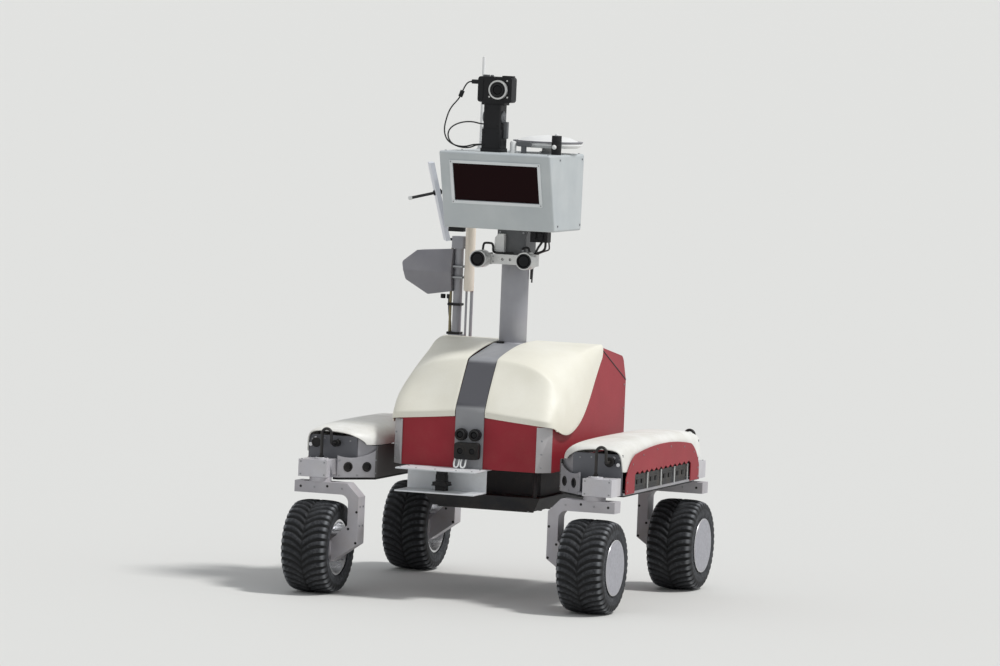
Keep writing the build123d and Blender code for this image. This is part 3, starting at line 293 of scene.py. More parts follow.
# Dark zinc rich primer under the hull: dull, nearly black.
dark_primer = surface("dark_primer", "#26272B", "#1D1E22", 0.6, 2 * MM, 0.08 * MM, 0.35, 0.5)
# Black polyurethane cable jackets: smooth, with a slightly greasy sheen.
cable_jacket = surface("polyurethane_jacket", "#0B0B0D", "#131316", 0.48, 2 * MM, 0.04 * MM,
                       0.2, 0.9)
print("finishes so far:", len(bpy.data.materials))


# %% [markdown]
# ## Finishes of the mast and its instruments
# High up there is less dust, so these finishes take little of it. The lidar's case is a blue grey
# enamel with a paler bezel, the cameras are black moulded plastic, and the aerials are white.

# %% Finishes of the instruments
# Grey enamel on the mast and pole, blue grey enamel on the lidar: smooth satin.
mast_paint = surface("mast_grey_enamel", "#A3A3A8", "#97979D", 0.44, enamel_peel, 0.05 * MM,
                     0.25, 1.2)
lidar_paint = surface("lidar_blue_grey_enamel", "#C1C6C7", "#B5BBBD", 0.46, 2.5 * MM, 0.06 * MM,
                      0.2, 1.5)
bezel_paint = surface("window_bezel_enamel", "#E0E3E4", "#D6DADB", 0.42, 2.5 * MM, 0.05 * MM,
                      0.1, 1.5)
# Moulded ASA of the aerials: white, smooth, unfading, the tube's aged to cream.
white_radome = surface("white_radome_asa", "#ECECEA", "#E2E2E0", 0.40, enamel_peel, 0.04 * MM,
                       0.1, 1.6)
panel_radome = surface("panel_aerial_radome", "#E2E4EA", "#D5D8DF", 0.45, enamel_peel, 0.04 * MM,
                       0.1, 1.6)
cream_tube = surface("cream_aerial_tube", "#F0E6D8", "#E6DBCB", 0.42, enamel_peel, 0.04 * MM,
                     0.15, 1.4)
# Injection moulded black ABS and glass filled nylon: fine spark eroded texture.
black_abs = surface("black_moulded_abs", "#0B0C0F", "#131418", 0.54, mould_texture, 0.08 * MM,
                    0.15, 1.2, ior=1.38)
# Hard anodised dark block and silver anodised camera housings: dull metal sheen.
dark_anodise = surface("dark_hard_anodise", "#66686A", "#58595C", 0.5, 1.2 * MM, 0.04 * MM,
                       0.3, 1.2, metallic=0.3)
silver_anodise = surface("silver_anodise", "#D2D2D0", "#C0C1C0", 0.34, anodise_tooth, 0.03 * MM,
                         0.2, 1.2, metallic=0.6)
# Weathered grey polycarbonate of the radio's housing: dull, uneven.
radio_shell = surface("radio_polycarbonate", "#8E8D92", "#7F7E84", 0.55, 2 * MM, 0.08 * MM,
                      0.2, 1.4)
# A glass fibre rod yellowed by the sun: dull tan.
tan_rod = surface("weathered_tan_rod", "#9D916E", "#857A5C", 0.6, 2 * MM, 0.06 * MM, 0.3, 1.0)
print("finishes in all:", len(bpy.data.materials))


# %% [markdown]
# ## A second shade where a piece is darker
# Some construction pieces are one solid but have two shades: the strip is painted darker where it
# lies deep between the shells, and the pods' end plates and inboard walls are painted darker, all
# three painted shade, and the panel aerial's rod is black. The finish is kept and its colour is
# swapped where a measure of the place, worked out along one direction, lies between two values.

# %% Second shade
ACROSS, ALONG, UP = (1, 0, 0), (0, 1, 0), (0, 0, 1)


def second_shade(material, bands, code, soft=2.0):
    """Gives the finish another hex colour inside all the bands: each is a direction, whether
    both signs count, and the lowest and highest place along it in mm."""
    tree = material.node_tree
    shader = next(n for n in tree.nodes if n.type == "BSDF_PRINCIPLED")
    first = shader.inputs["Base Color"].links[0].from_socket
    place = add_node(tree, "ShaderNodeTexCoord")
    inside = None
    for axis, mirrored, low, high in bands:
        along = add_node(tree, "ShaderNodeVectorMath", {"operation": "DOT_PRODUCT"},
                         _0=place.outputs["Object"], _1=axis)
        if mirrored:
            along = add_node(tree, "ShaderNodeMath", {"operation": "ABSOLUTE"},
                             _0=along.outputs["Value"])
        rise = add_node(tree, "ShaderNodeMapRange", Value=along.outputs["Value"],
                        From_Min=(low - soft) * MM, From_Max=low * MM)
        fall = add_node(tree, "ShaderNodeMapRange", Value=along.outputs["Value"],
                        From_Min=high * MM, From_Max=(high + soft) * MM, To_Min=1.0, To_Max=0.0)
        band = add_node(tree, "ShaderNodeMath", {"operation": "MULTIPLY"}, _0=rise.outputs[0],
                        _1=fall.outputs[0])
        if inside:
            band = add_node(tree, "ShaderNodeMath", {"operation": "MULTIPLY"},
                            _0=band.outputs[0], _1=inside.outputs[0])
        inside = band
    mixed = add_node(tree, "ShaderNodeMix", {"data_type": "RGBA"}, _0=inside.outputs[0],
                     _6=first, _7=hex_colour(code))
    tree.links.new(mixed.outputs[2], shader.inputs["Base Color"])
    print(material.name, "has its second shade in", len(bands), "bands")


# The strip's dark band, where it lies deep between the shells, is painted shade in that recess.
second_shade(strip_paint, [(UP, False, 528, 638)], "#515156", 8)
# The end plates under the hoods, and the inboard wall of each pod, which faces the hull: painted
# shade under the hoods and beside the hull, the inboard walls with a brown painted reflection of the
# ground
second_shade(frame_sheet, [(ALONG, True, 330, 335.6), (ACROSS, True, 306, 460)], "#64656A", 0.4)
second_shade(frame_sheet, [(ACROSS, True, 250, 266.5), (ALONG, True, -10, 330)], "#5C5A59", 0.4)
# The panel aerial: its middle, the direction through its face and the one up its middle line
panel_place = Vector((-216, -20, 1063))
panel_across = (0.8794, 0.4101, 0.2419)
panel_up = Vector((-0.2192, -0.1022, 0.9703))
panel_depth = panel_place.dot(Vector(panel_across))
panel_half = 7
for near, far in ((-200, -panel_half), (panel_half, 200)):
    second_shade(panel_radome, [(panel_across, False, panel_depth + near, panel_depth + far)],
                 "#131316", 1)


# %% [markdown]
# ## Rubber with dust on the bars
# Tyre rubber is a dark blue grey with hardly any gloss. The bars' tops rub on the ground and
# hold pale dust, and the grooves between them are painted darker: painted shade down in the
# grooves. The mesh stores how high its bars stand and how hard the ground rubs them, and these
# two numbers drive the colour.

# %% Tyre rubber
# The grooves' colour is painted shade: the same rubber drawn darker down in the grooves.
groove_shade_colour, bar_colour, rubbed_colour = "#07080A", "#1E2025", "#85878A"
rub_mark, dust_streak = 9 * MM, 55 * MM
# Moulded rubber is grained at a tenth of a millimetre: drawn coarser, so that it shows.
rubber_grain = 1.5 * MM


def tyre_rubber():
    """Rubber whose colour follows the two numbers that the tyre's mesh stores."""
    material, tree, shader = empty_material("tyre_rubber")
    place = add_node(tree, "ShaderNodeTexCoord")
    height = add_node(tree, "ShaderNodeAttribute", {"attribute_name": "bar_height"})
    rub = add_node(tree, "ShaderNodeTexNoise", Vector=place.outputs["Object"],
                   Scale=1 / rub_mark, Detail=5.0, Roughness=0.7)
    streak = add_node(tree, "ShaderNodeTexNoise", Vector=place.outputs["Object"],
                      Scale=1 / dust_streak, Detail=3.0)
    worn = add_node(tree, "ShaderNodeMapRange", Value=rub.outputs[0], From_Min=0.42, From_Max=0.72)
    patch = add_node(tree, "ShaderNodeMapRange", Value=streak.outputs[0], From_Min=0.3,
                     From_Max=0.7, To_Min=0.12, To_Max=0.4)
    top = add_node(tree, "ShaderNodeMath", {"operation": "MULTIPLY"}, _0=height.outputs["Fac"],
                   _1=worn.outputs[0])
    film = add_node(tree, "ShaderNodeMath", {"operation": "MULTIPLY"}, _0=top.outputs[0],
                    _1=patch.outputs[0])
    rubbed = add_node(tree, "ShaderNodeAttribute", {"attribute_name": "shoulder_rub"})
    dust = add_node(tree, "ShaderNodeMath", {"operation": "MAXIMUM", "use_clamp": True},
                    _0=film.outputs[0], _1=rubbed.outputs["Fac"])
    # The bar's height runs the colour from the grooves' painted shade up to the rubber of the bars' tops.
    ramp = add_node(tree, "ShaderNodeMix", {"data_type": "RGBA"}, _0=height.outputs["Fac"],
                    _6=hex_colour(groove_shade_colour), _7=hex_colour(bar_colour))
    colour = add_node(tree, "ShaderNodeMix", {"data_type": "RGBA"}, _0=dust.outputs[0],
                      _6=ramp.outputs[2], _7=hex_colour(rubbed_colour))
    grit = add_node(tree, "ShaderNodeTexNoise", Vector=place.outputs["Object"],
                    Scale=1 / rubber_grain, Detail=3.0)
    bump = add_node(tree, "ShaderNodeBump", Strength=0.4, Distance=0.2 * MM,
                    Height=grit.outputs[0])
    tree.links.new(colour.outputs[2], shader.inputs["Base Color"])
    tree.links.new(bump.outputs[0], shader.inputs["Normal"])
    shader.inputs["Roughness"].default_value = 0.78
    return material


rubber = tyre_rubber()
print("nodes in the rubber:", len(rubber.node_tree.nodes))


# %% [markdown]
# ## Glass and lenses
# A coated lens looks nearly black, because its coating sends back little light. The lidar's
# window is dark maroon acrylic that passes only infrared, so it is almost black with a touch of
# red and hardly mirrors the sky. Both are solid here: nothing behind them is seen.

# %% Glass
def dark_glass(name, colour, roughness, specular, coat):
    """Glass that is dark to the eye, with a faint smear that changes its gloss."""
    material, tree, shader = empty_material(name)
    place = add_node(tree, "ShaderNodeTexCoord")
    smear = add_node(tree, "ShaderNodeTexNoise", Vector=place.outputs["Object"],
                     Scale=1 / (70 * MM), Detail=4.0)
    film = add_node(tree, "ShaderNodeMapRange", Value=smear.outputs[0], From_Min=0.35,
                    From_Max=0.75, To_Min=roughness, To_Max=roughness + 0.1)
    tree.links.new(film.outputs[0], shader.inputs["Roughness"])
    shader.inputs["Base Color"].default_value = hex_colour(colour)
    shader.inputs["Specular IOR Level"].default_value = specular
    shader.inputs["Coat Weight"].default_value = coat
    shader.inputs["Coat Roughness"].default_value = 0.04
    return material


window_acrylic = dark_glass("lidar_window_acrylic", "#1A0507", 0.14, 0.07, 0.0)
lens_glass = dark_glass("coated_lens_glass", "#07080C", 0.06, 0.15, 0.15)
print("glass materials:", window_acrylic.name, "and", lens_glass.name)


# %% [markdown]
# ## Shapes as vertices and faces
# Small solids are written as lists of vertices and faces in millimetres. Four kinds make nearly
# everything: a profile spun about an axis, a square block, a flat outline with a thickness, and
# a round bar along straight runs.

# %% Shape helpers
def spun(profile, steps=24):
    """A profile of (radius, height) pairs in mm, turned about Z into vertices and faces."""
    points, faces = [], []
    for radius, height in profile:
        for step in range(steps):
            turn = 2 * pi * step / steps
            points.append((radius * cos(turn), radius * sin(turn), height))
    for ring in range(len(profile) - 1):
        for step in range(steps):
            after = (step + 1) % steps
            low, high = ring * steps, (ring + 1) * steps
            faces.append((low + step, low + after, high + after, high + step))
    faces.append(tuple(reversed(range(steps))))
    faces.append(tuple(range((len(profile) - 1) * steps, len(profile) * steps)))
    return points, faces


def slab(low, high):
    """A square edged block between two corners in mm, as vertices and faces."""
    (x0, y0, z0), (x1, y1, z1) = low, high
    points = [(x, y, z) for z in (z0, z1) for x, y in ((x0, y0), (x1, y0), (x1, y1), (x0, y1))]
    faces = [(3, 2, 1, 0), (4, 5, 6, 7), (0, 1, 5, 4), (1, 2, 6, 5), (2, 3, 7, 6), (3, 0, 4, 7)]
    return points, faces


def prism(foot, top):
    """A flat outline with a thickness: the same ring of points in mm on its two faces, each
    gone round anticlockwise as seen from beyond the top."""
    count = len(foot)
    walls = [(k, (k + 1) % count, (k + 1) % count + count, k + count) for k in range(count)]
    ends = [tuple(reversed(range(count))), tuple(range(count, 2 * count))]
    return foot + top, walls + ends


def pipe(route, radius, sides=12):
    """A round bar along straight runs between points in mm, as vertices and faces."""
    points, faces = [], []
    spots = [Vector(p) for p in route]
    for index, spot in enumerate(spots):
        before = spots[max(index - 1, 0)]
        after = spots[min(index + 1, len(spots) - 1)]
        turn = (after - before).to_track_quat("Z", "Y")
        for side in range(sides):
            angle = 2 * pi * side / sides
            points.append(spot + turn @ Vector((radius * cos(angle), radius * sin(angle), 0)))
    for index in range(len(spots) - 1):
        for side in range(sides):
            nxt = (side + 1) % sides
            low, high = index * sides, (index + 1) * sides
            faces.append((low + side, low + nxt, high + nxt, high + side))
    faces.append(tuple(reversed(range(sides))))
    faces.append(tuple(range(len(points) - sides, len(points))))
    return points, faces


print("faces of a block:", len(slab((0, 0, 0), (1, 1, 1))[1]))


# %% [markdown]
# ## From shapes to pieces
# Many shapes are joined in one object, because a hundred screws as a hundred objects would be
# slow and hard to read. No made edge is perfectly sharp, so a small bevel that works by angle
# goes on most of them: it catches the light as a real edge does.

# %% Piece helpers
def placed(shape, where=(0, 0, 0), facing=(0, 0, 1)):
    """A shape with its Z axis turned to face a direction and its origin moved, in mm."""
    turn = Vector(facing).to_track_quat("Z", "Y").to_matrix().to_4x4()
    matrix = Matrix.Translation(Vector(where)) @ turn
    return [matrix @ Vector(p) for p in shape[0]], shape[1]


def soften_edges(piece, width, angle, harden=True):
    """Rounds every edge that turns by more than an angle in degrees, by a width in mm."""
    edge = piece.modifiers.new("edge", "BEVEL")
    edge.width = width * MM
    edge.segments = 2
    edge.limit_method = "ANGLE"
    edge.angle_limit = radians(angle)
    edge.harden_normals = harden


def make_piece(name, shapes, material, body, bevel=0.0, smooth_angle=38):
    """Joins shapes in mm in one object in metres, smooths it by angle and rides it on a body."""
    points, faces = [], []
    for shape_points, shape_faces in shapes:
        start = len(points)
        points += [Vector(p) * MM for p in shape_points]
        faces += [tuple(start + i for i in face) for face in shape_faces]
    mesh = bpy.data.meshes.new(name)
    mesh.from_pydata(points, [], faces)
    mesh.validate()
    mesh.shade_smooth()
    mesh.set_sharp_from_angle(angle=radians(smooth_angle))
    piece = bpy.data.objects.new(name, mesh)
    bpy.context.scene.collection.objects.link(piece)
    mesh.materials.append(material)
    if bevel:
        soften_edges(piece, bevel, 40)
    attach(piece, body)


def cable_curve(name, route, radius, jacket, roundness, steps):
    """A cable on a soft curve through the middle of its control points in mm."""
    curve = bpy.data.curves.new(name, "CURVE")
    curve.dimensions = "3D"
    curve.bevel_depth = radius * MM
    curve.bevel_resolution = roundness
    curve.resolution_u = steps
    curve.use_fill_caps = True
    spline = curve.splines.new("NURBS")
    spline.points.add(len(route) - 1)
    for point, spot in zip(spline.points, route):
        point.co = (*[v * MM for v in spot], 1)
    spline.order_u = 3
    spline.use_endpoint_u = True
    cable = bpy.data.objects.new(name, curve)
    bpy.context.scene.collection.objects.link(cable)
    curve.materials.append(jacket)
    return cable


print("helpers ready: placed, soften_edges, make_piece, cable_curve")


# %% [markdown]
# ## Cables that hang free
# Two thin cables loop beside the pan unit. The camera's has the control points that the
# construction used, and the unit's swings a little wider. A NURBS curve through the middle of
# the points gives the soft line that a real cable takes. Each moves with the camera.

# %% Free cables
pan_x, pan_y = -36, -95
plug_end = -106
plug_height = 1398
block_side = pan_x - 28
tower_side = pan_x - 25
cable_radius = 2
camera_route = [
    (plug_end, pan_y, plug_height), (plug_end - 12, pan_y, plug_height), (-130, -98, 1376),
    (-139, -100, 1351), (-163, -103, 1325), (-174, -105, 1293), (-179, -106, 1261),
    (-170, -105, 1235), (-146, -104, 1221), (-116, -102, 1219), (-90, -102, 1228),
    (block_side, -102, 1228),
]
unit_route = [
    (tower_side, -86, 1283), (-79, -86, 1283), (-106, -85, 1289), (-140, -85, 1285),
    (-168, -86, 1270), (-176, -86, 1247), (-162, -87, 1225), (-134, -88, 1216),
    (-106, -87, 1217), (-88, -87, 1227), (block_side, -87, 1227),
]


def free_cable(name, route, node):
    """A cable that hangs free and takes the place of the construction's plain one."""
    cable = cable_curve(name, route, cable_radius, cable_jacket, roundness=4, steps=8)
    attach(cable, "camera_pan")
    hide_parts(node)


free_cable("camera_cable_line", camera_route, "camera_cable")
free_cable("unit_cable_line", unit_route, "unit_cable")
print("free cables:", len(camera_route), "and", len(unit_route), "control points")


# %% [markdown]
# ## Tyres: where the bars stand
# A soft tyre with wavy bars: from each shoulder the bars run in square to the wheel, then bend
# down to meet in the middle, where they break up. It could be a bump map, but the bars show in
# outline and cast shadows in their grooves, so they are made in the mesh. A wave round the wheel,
# delayed towards the middle, says how high the bar stands at each point.

# %% Tread pattern
half_track, half_wheelbase, wheel_radius = 393, 386, 126
bar_count = 38
bar_rise = 5.0
tread_edge = 60
bar_bend = 1.3
shoulder_drop = 7.0
groove_reach, groove_fill = 2.2, 0.7
rub_middle, rub_reach, rub_most = 57.5, 4.5, 0.75
# Strength of every second bar's wave, steepness of a bar's flanks, and its width over its groove
second_wave, flank, bar_excess = 0.55, 1.9, 0.22


def crown_radius(across):
    """Radius of the groove's floor at a distance from the tyre's middle."""
    share = abs(across) / tread_edge
    return wheel_radius - bar_rise - shoulder_drop * share ** 4


def bar_height(across, turn):
    """How high the bar stands there, from 0 in a groove to 1 on a bar's top."""
    inward = 1 - min(abs(across) / tread_edge, 1)
    phase = bar_count * turn + 2 * pi * bar_bend * inward ** 2.5
    # Every second bar is thinner near the middle, which breaks up the pattern there.
    wave = cos(phase) + second_wave * cos(phase * 0.5) * inward ** 0.7
    crest = min(max(0.5 + flank * (wave + bar_excess), 0), 1)
    middle_groove = 1 - groove_fill * exp(-((abs(across) / groove_reach) ** 2))
    return crest * middle_groove


def shoulder_rub(across, height):
    """How pale the ground rubs a bar there: most at its end, on the tyre's shoulder."""
    return rub_most * height * exp(-(((abs(across) - rub_middle) / rub_reach) ** 2))


print("the tyre's radius at its shoulder:", crown_radius(tread_edge))


# %% [markdown]
# ## Tyres: the mesh
# Half of the tyre's section is a list of points from the bead over the side wall to the shoulder,
# then stations across the tread that lie closer together towards the middle. It is mirrored and
# carried round the wheel, and the bars' height pushes each point out.

# %% Tyres
steps_per_bar = 12
# How much darker the bars are in the middle, and how pale the smooth side wall is
middle_shade, wall_shade = 0.45, 0.95
# Half of the section from the bead out: (distance from the middle, radius, bar's share)
side_wall = [
    (60.2, 76.4, 0), (61.6, 78.6, 0), (63.0, 81.5, 0), (63.2, 83.5, 0), (63.9, 85.0, 0),
    (64.6, 90.0, 0), (64.9, 95.0, 0), (64.6, 97.0, 0), (64.9, 99.0, 0), (64.6, 103.0, 0.2),
    (63.8, 107.5, 0.5), (62.4, 111.5, 0.8),
]
tread_stations = [60, 58.8, 56.5, 53, 49, 44, 38.5, 33, 27.5, 22, 17, 12.5, 8.5, 5.5, 3, 1]
half_section = side_wall + [(x, crown_radius(x), 1) for x in tread_stations]
tyre_section = [(-x, r, share) for x, r, share in half_section] + half_section[::-1]


def tyre(corner, side, end):
    """A tyre in its place, with the bars' height and rub stored for the rubber to read."""
    steps = bar_count * steps_per_bar
    points, faces, shades, rubs = [], [], [], []
    for step in range(steps):
        turn = 2 * pi * step / steps
        for across, radius, share in tyre_section:
            height = bar_height(across, turn) * share
            reach = radius + bar_rise * height
            points.append((
                (side * half_track + across) * MM,
                (end * half_wheelbase - reach * cos(turn)) * MM,
                (wheel_radius + reach * sin(turn)) * MM,
            ))
            inward = 1 - min(abs(across) / tread_edge, 1)
            shades.append(height * (1 - middle_shade * inward) if share else wall_shade)
            rubs.append(shoulder_rub(across, height))
    count = len(tyre_section)
    for step in range(steps):
        here, after = step * count, ((step + 1) % steps) * count
        for index in range(count - 1):
            faces.append((here + index, here + index + 1, after + index + 1, after + index))
    mesh = bpy.data.meshes.new(f"treaded_tyre_{corner}")
    mesh.from_pydata(points, [], faces)
    mesh.shade_smooth()
    mesh.set_sharp_from_angle(angle=radians(50))
    mesh.attributes.new("bar_height", "FLOAT", "POINT").data.foreach_set("value", shades)
    mesh.attributes.new("shoulder_rub", "FLOAT", "POINT").data.foreach_set("value", rubs)
    mesh.materials.append(rubber)
    piece = bpy.data.objects.new(f"treaded_tyre_{corner}", mesh)
    bpy.context.scene.collection.objects.link(piece)
    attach(piece, f"wheel_{corner}")
    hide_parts(f"tyre_{corner}")
    return len(points)


tyre_points = [tyre(corner, side, end) for corner, (side, end) in corners.items()]
print("points in the tyres:", tyre_points)


# %% [markdown]
# ## Rims
# The barrel is turned bright, but the flat cover outboard is a matte grey plate with small
# knocks. One material tells them apart by how far out along the axle a point lies. A bright ring
# is laid round the cover's edge, where the turned rim shows past it.

# %% Rim finish
cover_start = half_track + 58.2
knock_size = 7 * MM
cover_roughness = 0.62


def rim_finish():
    """Turned metal inside, a matte knocked cover outboard."""
    material = surface("rim_turned_with_matte_cover", "#D8D9DB", "#C6C7CA", 0.22, turning_mark,
                       0.02 * MM, 0.3, 0.3, metallic=1.0)
    tree = material.node_tree
    shader = next(n for n in tree.nodes if n.type == "BSDF_PRINCIPLED")
    bright = shader.inputs["Base Color"].links[0].from_socket
    gloss = shader.inputs["Roughness"].links[0].from_socket
    place = add_node(tree, "ShaderNodeTexCoord")
    split = add_node(tree, "ShaderNodeSeparateXYZ", Vector=place.outputs["Object"])
    out = add_node(tree, "ShaderNodeMath", {"operation": "ABSOLUTE"}, _0=split.outputs["X"])
    cover = add_node(tree, "ShaderNodeMath", {"operation": "GREATER_THAN"}, _0=out.outputs[0],
                     _1=cover_start * MM)
    knocks = add_node(tree, "ShaderNodeTexNoise", Vector=place.outputs["Object"],
                      Scale=1 / knock_size, Detail=4.0, Roughness=0.75)
    mark = add_node(tree, "ShaderNodeMapRange", Value=knocks.outputs[0], From_Min=0.35,
                    From_Max=0.68)
    matte = add_node(tree, "ShaderNodeMix", {"data_type": "RGBA"}, _0=mark.outputs[0],
                     _6=hex_colour("#ABABB1"), _7=hex_colour("#97969B"))
    colour = add_node(tree, "ShaderNodeMix", {"data_type": "RGBA"}, _0=cover.outputs[0],
                      _6=bright, _7=matte.outputs[2])
    rough = add_node(tree, "ShaderNodeMix", {"data_type": "FLOAT"}, _0=cover.outputs[0],
                     _2=gloss, _3=cover_roughness)
    metal = add_node(tree, "ShaderNodeMath", {"operation": "SUBTRACT"}, _0=1.0,
                     _1=cover.outputs[0])
    tree.links.new(colour.outputs[2], shader.inputs["Base Color"])
    tree.links.new(rough.outputs[0], shader.inputs["Roughness"])
    tree.links.new(metal.outputs[0], shader.inputs["Metallic"])
    return material


rim_material = rim_finish()
ring_profile = [(75.6, 0), (75.6, 6.6), (74.8, 7.6), (73.2, 7.8), (73.0, 6.8)]
for corner, (side, end) in corners.items():
    hub = (side * (half_track + 58), end * half_wheelbase, wheel_radius)
    ring = placed(spun(ring_profile, 72), hub, (side, 0, 0))
    make_piece(f"cover_edge_ring_{corner}", [ring], turned_aluminium, f"wheel_{corner}")
print("rims dressed:", len(corners))


# %% [markdown]
# ## Body cowls
# Two moulded shells lie on the nose like a pair of half shells, one each side of the strip.
# Each has a dished front below an arched crease, a rounded shoulder and a lobe that hangs down
# the side. A cage of few points under subdivision gives the taut surface of a moulding, and a
# crease value on one row of edges draws the arch. The right one is the left one mirrored.

# %% The cowls' cage
# Rows from the front edge over the nose to the rear edge, columns from the strip outwards and
# down the side to the shell's lower edge, in mm.
cowl_cage = [
    [(43, -303, 497), (105, -303, 491), (165, -303, 486), (208, -300, 482), (227, -290, 480),
     (234, -276, 478), (237, -258, 472)],
    [(43, -305, 513), (105, -305, 507), (165, -305, 502), (208, -302, 498), (230, -288, 493),
     (236, -266, 483), (238, -242, 465)],
    [(43, -284, 553), (105, -279, 544), (162, -277, 536), (207, -280, 530), (234, -268, 512),
     (239, -236, 494), (239, -205, 456)],
    [(43, -252, 602), (105, -249, 590), (162, -246, 575), (209, -252, 556), (235, -243, 536),
     (240, -205, 505), (240, -170, 455)],
    [(43, -218, 650), (105, -220, 645), (158, -222, 631), (205, -219, 600), (229, -212, 563),
     (239, -174, 527), (240, -134, 462)],
    [(43, -196, 658), (105, -196, 656), (160, -194, 644), (210, -186, 612), (233, -168, 579),
     (240, -140, 538), (240, -98, 474)],
    [(43, -130, 671), (105, -130, 669), (164, -125, 662), (213, -115, 640), (235, -100, 607),
     (240, -80, 556), (240, -54, 496)],
    [(43, -50, 684), (105, -50, 684), (168, -45, 681), (217, -35, 668), (236, -26, 637),
     (239, -15, 594), (239, 0, 545)],
    [(43, 30, 688), (105, 30, 688), (172, 34, 687), (226, 38, 684), (237, 43, 668),
     (238, 48, 636), (238, 50, 606)],
    [(43, 104, 688), (105, 104, 688), (172, 104, 688), (230, 104, 688), (236, 104, 684),
     (237, 104, 668), (237, 98, 652)],
]
# Creased edges: the arch over the dished front, the shell's shoulder below it, the brow at the
# front edge, and the corner that sharpens towards the rear edge
arch_row, brow_row, corner_column, side_column = 4, 1, 3, 4
cowl_creases = {}
for column, value in enumerate((0.75, 0.8, 0.75, 0.6)):
    cowl_creases[(arch_row, column), (arch_row, column + 1)] = value
for row, value in ((3, 0.5), (2, 0.35), (1, 0.2)):
    cowl_creases[(row, side_column), (row + 1, side_column)] = value
for column in range(4):
    cowl_creases[(brow_row, column), (brow_row, column + 1)] = 0.55
for row, value in ((7, 0.45), (8, 0.95)):
    cowl_creases[(row, corner_column), (row + 1, corner_column)] = value
print("cage of", len(cowl_cage), "rows with", len(cowl_creases), "creased edges")


# %% [markdown]
# ## From a cage to a moulded shell
# The grid of points becomes faces, and a float stored on its edges holds the creases. Three
# modifiers do the rest: subdivision rounds the cage, solidify gives it the wall of a moulding,
# and a bevel rounds the rim. They stay live, so the cage is all that there is to edit.

# %% Body cowls
shell_wall, shell_levels, rim_bevel = 3.5, 3, 0.9


def grid_mesh(name, cage, mirrored, creases):
    """A mesh over a grid of points in mm, with a crease value for some of its edges."""
    mesh = bpy.data.meshes.new(name)
    form = bmesh.new()
    layer = form.edges.layers.float.new("crease_edge")
    flip = -1 if mirrored else 1
    grid = [[form.verts.new((flip * x * MM, y * MM, z * MM)) for x, y, z in row] for row in cage]
    for row in range(len(cage) - 1):
        for column in range(len(cage[0]) - 1):
            quad = [grid[row][column], grid[row][column + 1], grid[row + 1][column + 1],
                    grid[row + 1][column]]
            form.faces.new(list(reversed(quad)) if mirrored else quad)
    for (start, stop), value in creases.items():
        edge = form.edges.get((grid[start[0]][start[1]], grid[stop[0]][stop[1]]))
        edge[layer] = value
    form.normal_update()
    form.to_mesh(mesh)
    form.free()
    mesh.shade_smooth()
    return mesh


def moulded_shell(name, mesh, material, thickness):
    """An object whose mesh is subdivided and given the wall of a moulding."""
    piece = bpy.data.objects.new(name, mesh)
    bpy.context.scene.collection.objects.link(piece)
    mesh.materials.append(material)
    smooth = piece.modifiers.new("smooth", "SUBSURF")
    smooth.levels = smooth.render_levels = shell_levels
    smooth.boundary_smooth = "PRESERVE_CORNERS"
    wall = piece.modifiers.new("wall", "SOLIDIFY")
    wall.thickness = thickness * MM
    wall.offset = -1
    wall.use_even_offset = True
    soften_edges(piece, rim_bevel, 50, harden=False)
    return piece


for name, mirrored in (("left", False), ("right", True)):
    shell_mesh = grid_mesh(f"body_shell_{name}", cowl_cage, mirrored, cowl_creases)
    shell = moulded_shell(f"body_shell_{name}", shell_mesh, cream_abs, shell_wall)
    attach(shell, "chassis")
    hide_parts(f"body_cowl_{name}")
    print(shell.name, "has a cage of", len(shell_mesh.polygons), "faces")


# %% [markdown]
# ## Pod cowls
# A white hood lies over each side pod, open at both ends, its top falling to a lip over the
# gearbox. Again a cage: half of it from the lip to the middle, then mirrored to the rear.

# %% Pod cowls
hood_wall = 3.2
# Columns from the inboard lower edge over the top to the outboard lower edge, in mm
pod_cage_front = [
    [(286, -322, 404), (292, -327, 414), (318, -345, 430), (350, -350, 437), (400, -350, 439),
     (434, -350, 437), (451, -347, 426), (453.5, -338, 380)],
    [(284, -319, 404), (289, -323, 417), (314, -338, 435), (348, -344, 443), (400, -344, 445),
     (435, -344, 442), (452, -341, 428), (454, -334, 378)],
    [(268, -296, 402), (268, -298, 420), (290, -306, 440), (330, -312, 448), (400, -313, 450),
     (434, -312, 447), (453, -310, 432), (454, -310, 377)],
    [(263, -230, 402), (263, -230, 420), (286, -230, 446), (328, -230, 455), (400, -230, 457),
     (434, -230, 453), (453.5, -230, 438), (454, -230, 377)],
    [(263, -90, 402), (263, -90, 421), (286, -90, 447), (328, -90, 457), (400, -90, 459),
     (434, -90, 455), (454, -90, 439), (454, -90, 377)],
]
pod_cage = pod_cage_front + [[(x, -y, z) for x, y, z in row] for row in reversed(pod_cage_front)]
for name, mirrored in (("left", False), ("right", True)):
    hood_mesh = grid_mesh(f"pod_hood_{name}", pod_cage, mirrored, {})
    hood = moulded_shell(f"pod_hood_{name}", hood_mesh, white_abs, hood_wall)
    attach(hood, "chassis")
    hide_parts("pod_cowls")
    print(hood.name, "has a cage of", len(hood_mesh.polygons), "faces")


# %% [markdown]
# ## Finishes and soft edges of the construction pieces
# The pieces whose form is already right keep it. Each gets its finish, and a small bevel where
# its edges show. The bevel needs whole faces that share their corners, so corners that lie in
# the same place are welded first. The lidar's case and window meet along a line and stay sharp.

# %% Dress the construction pieces
weld_reach = 0.01
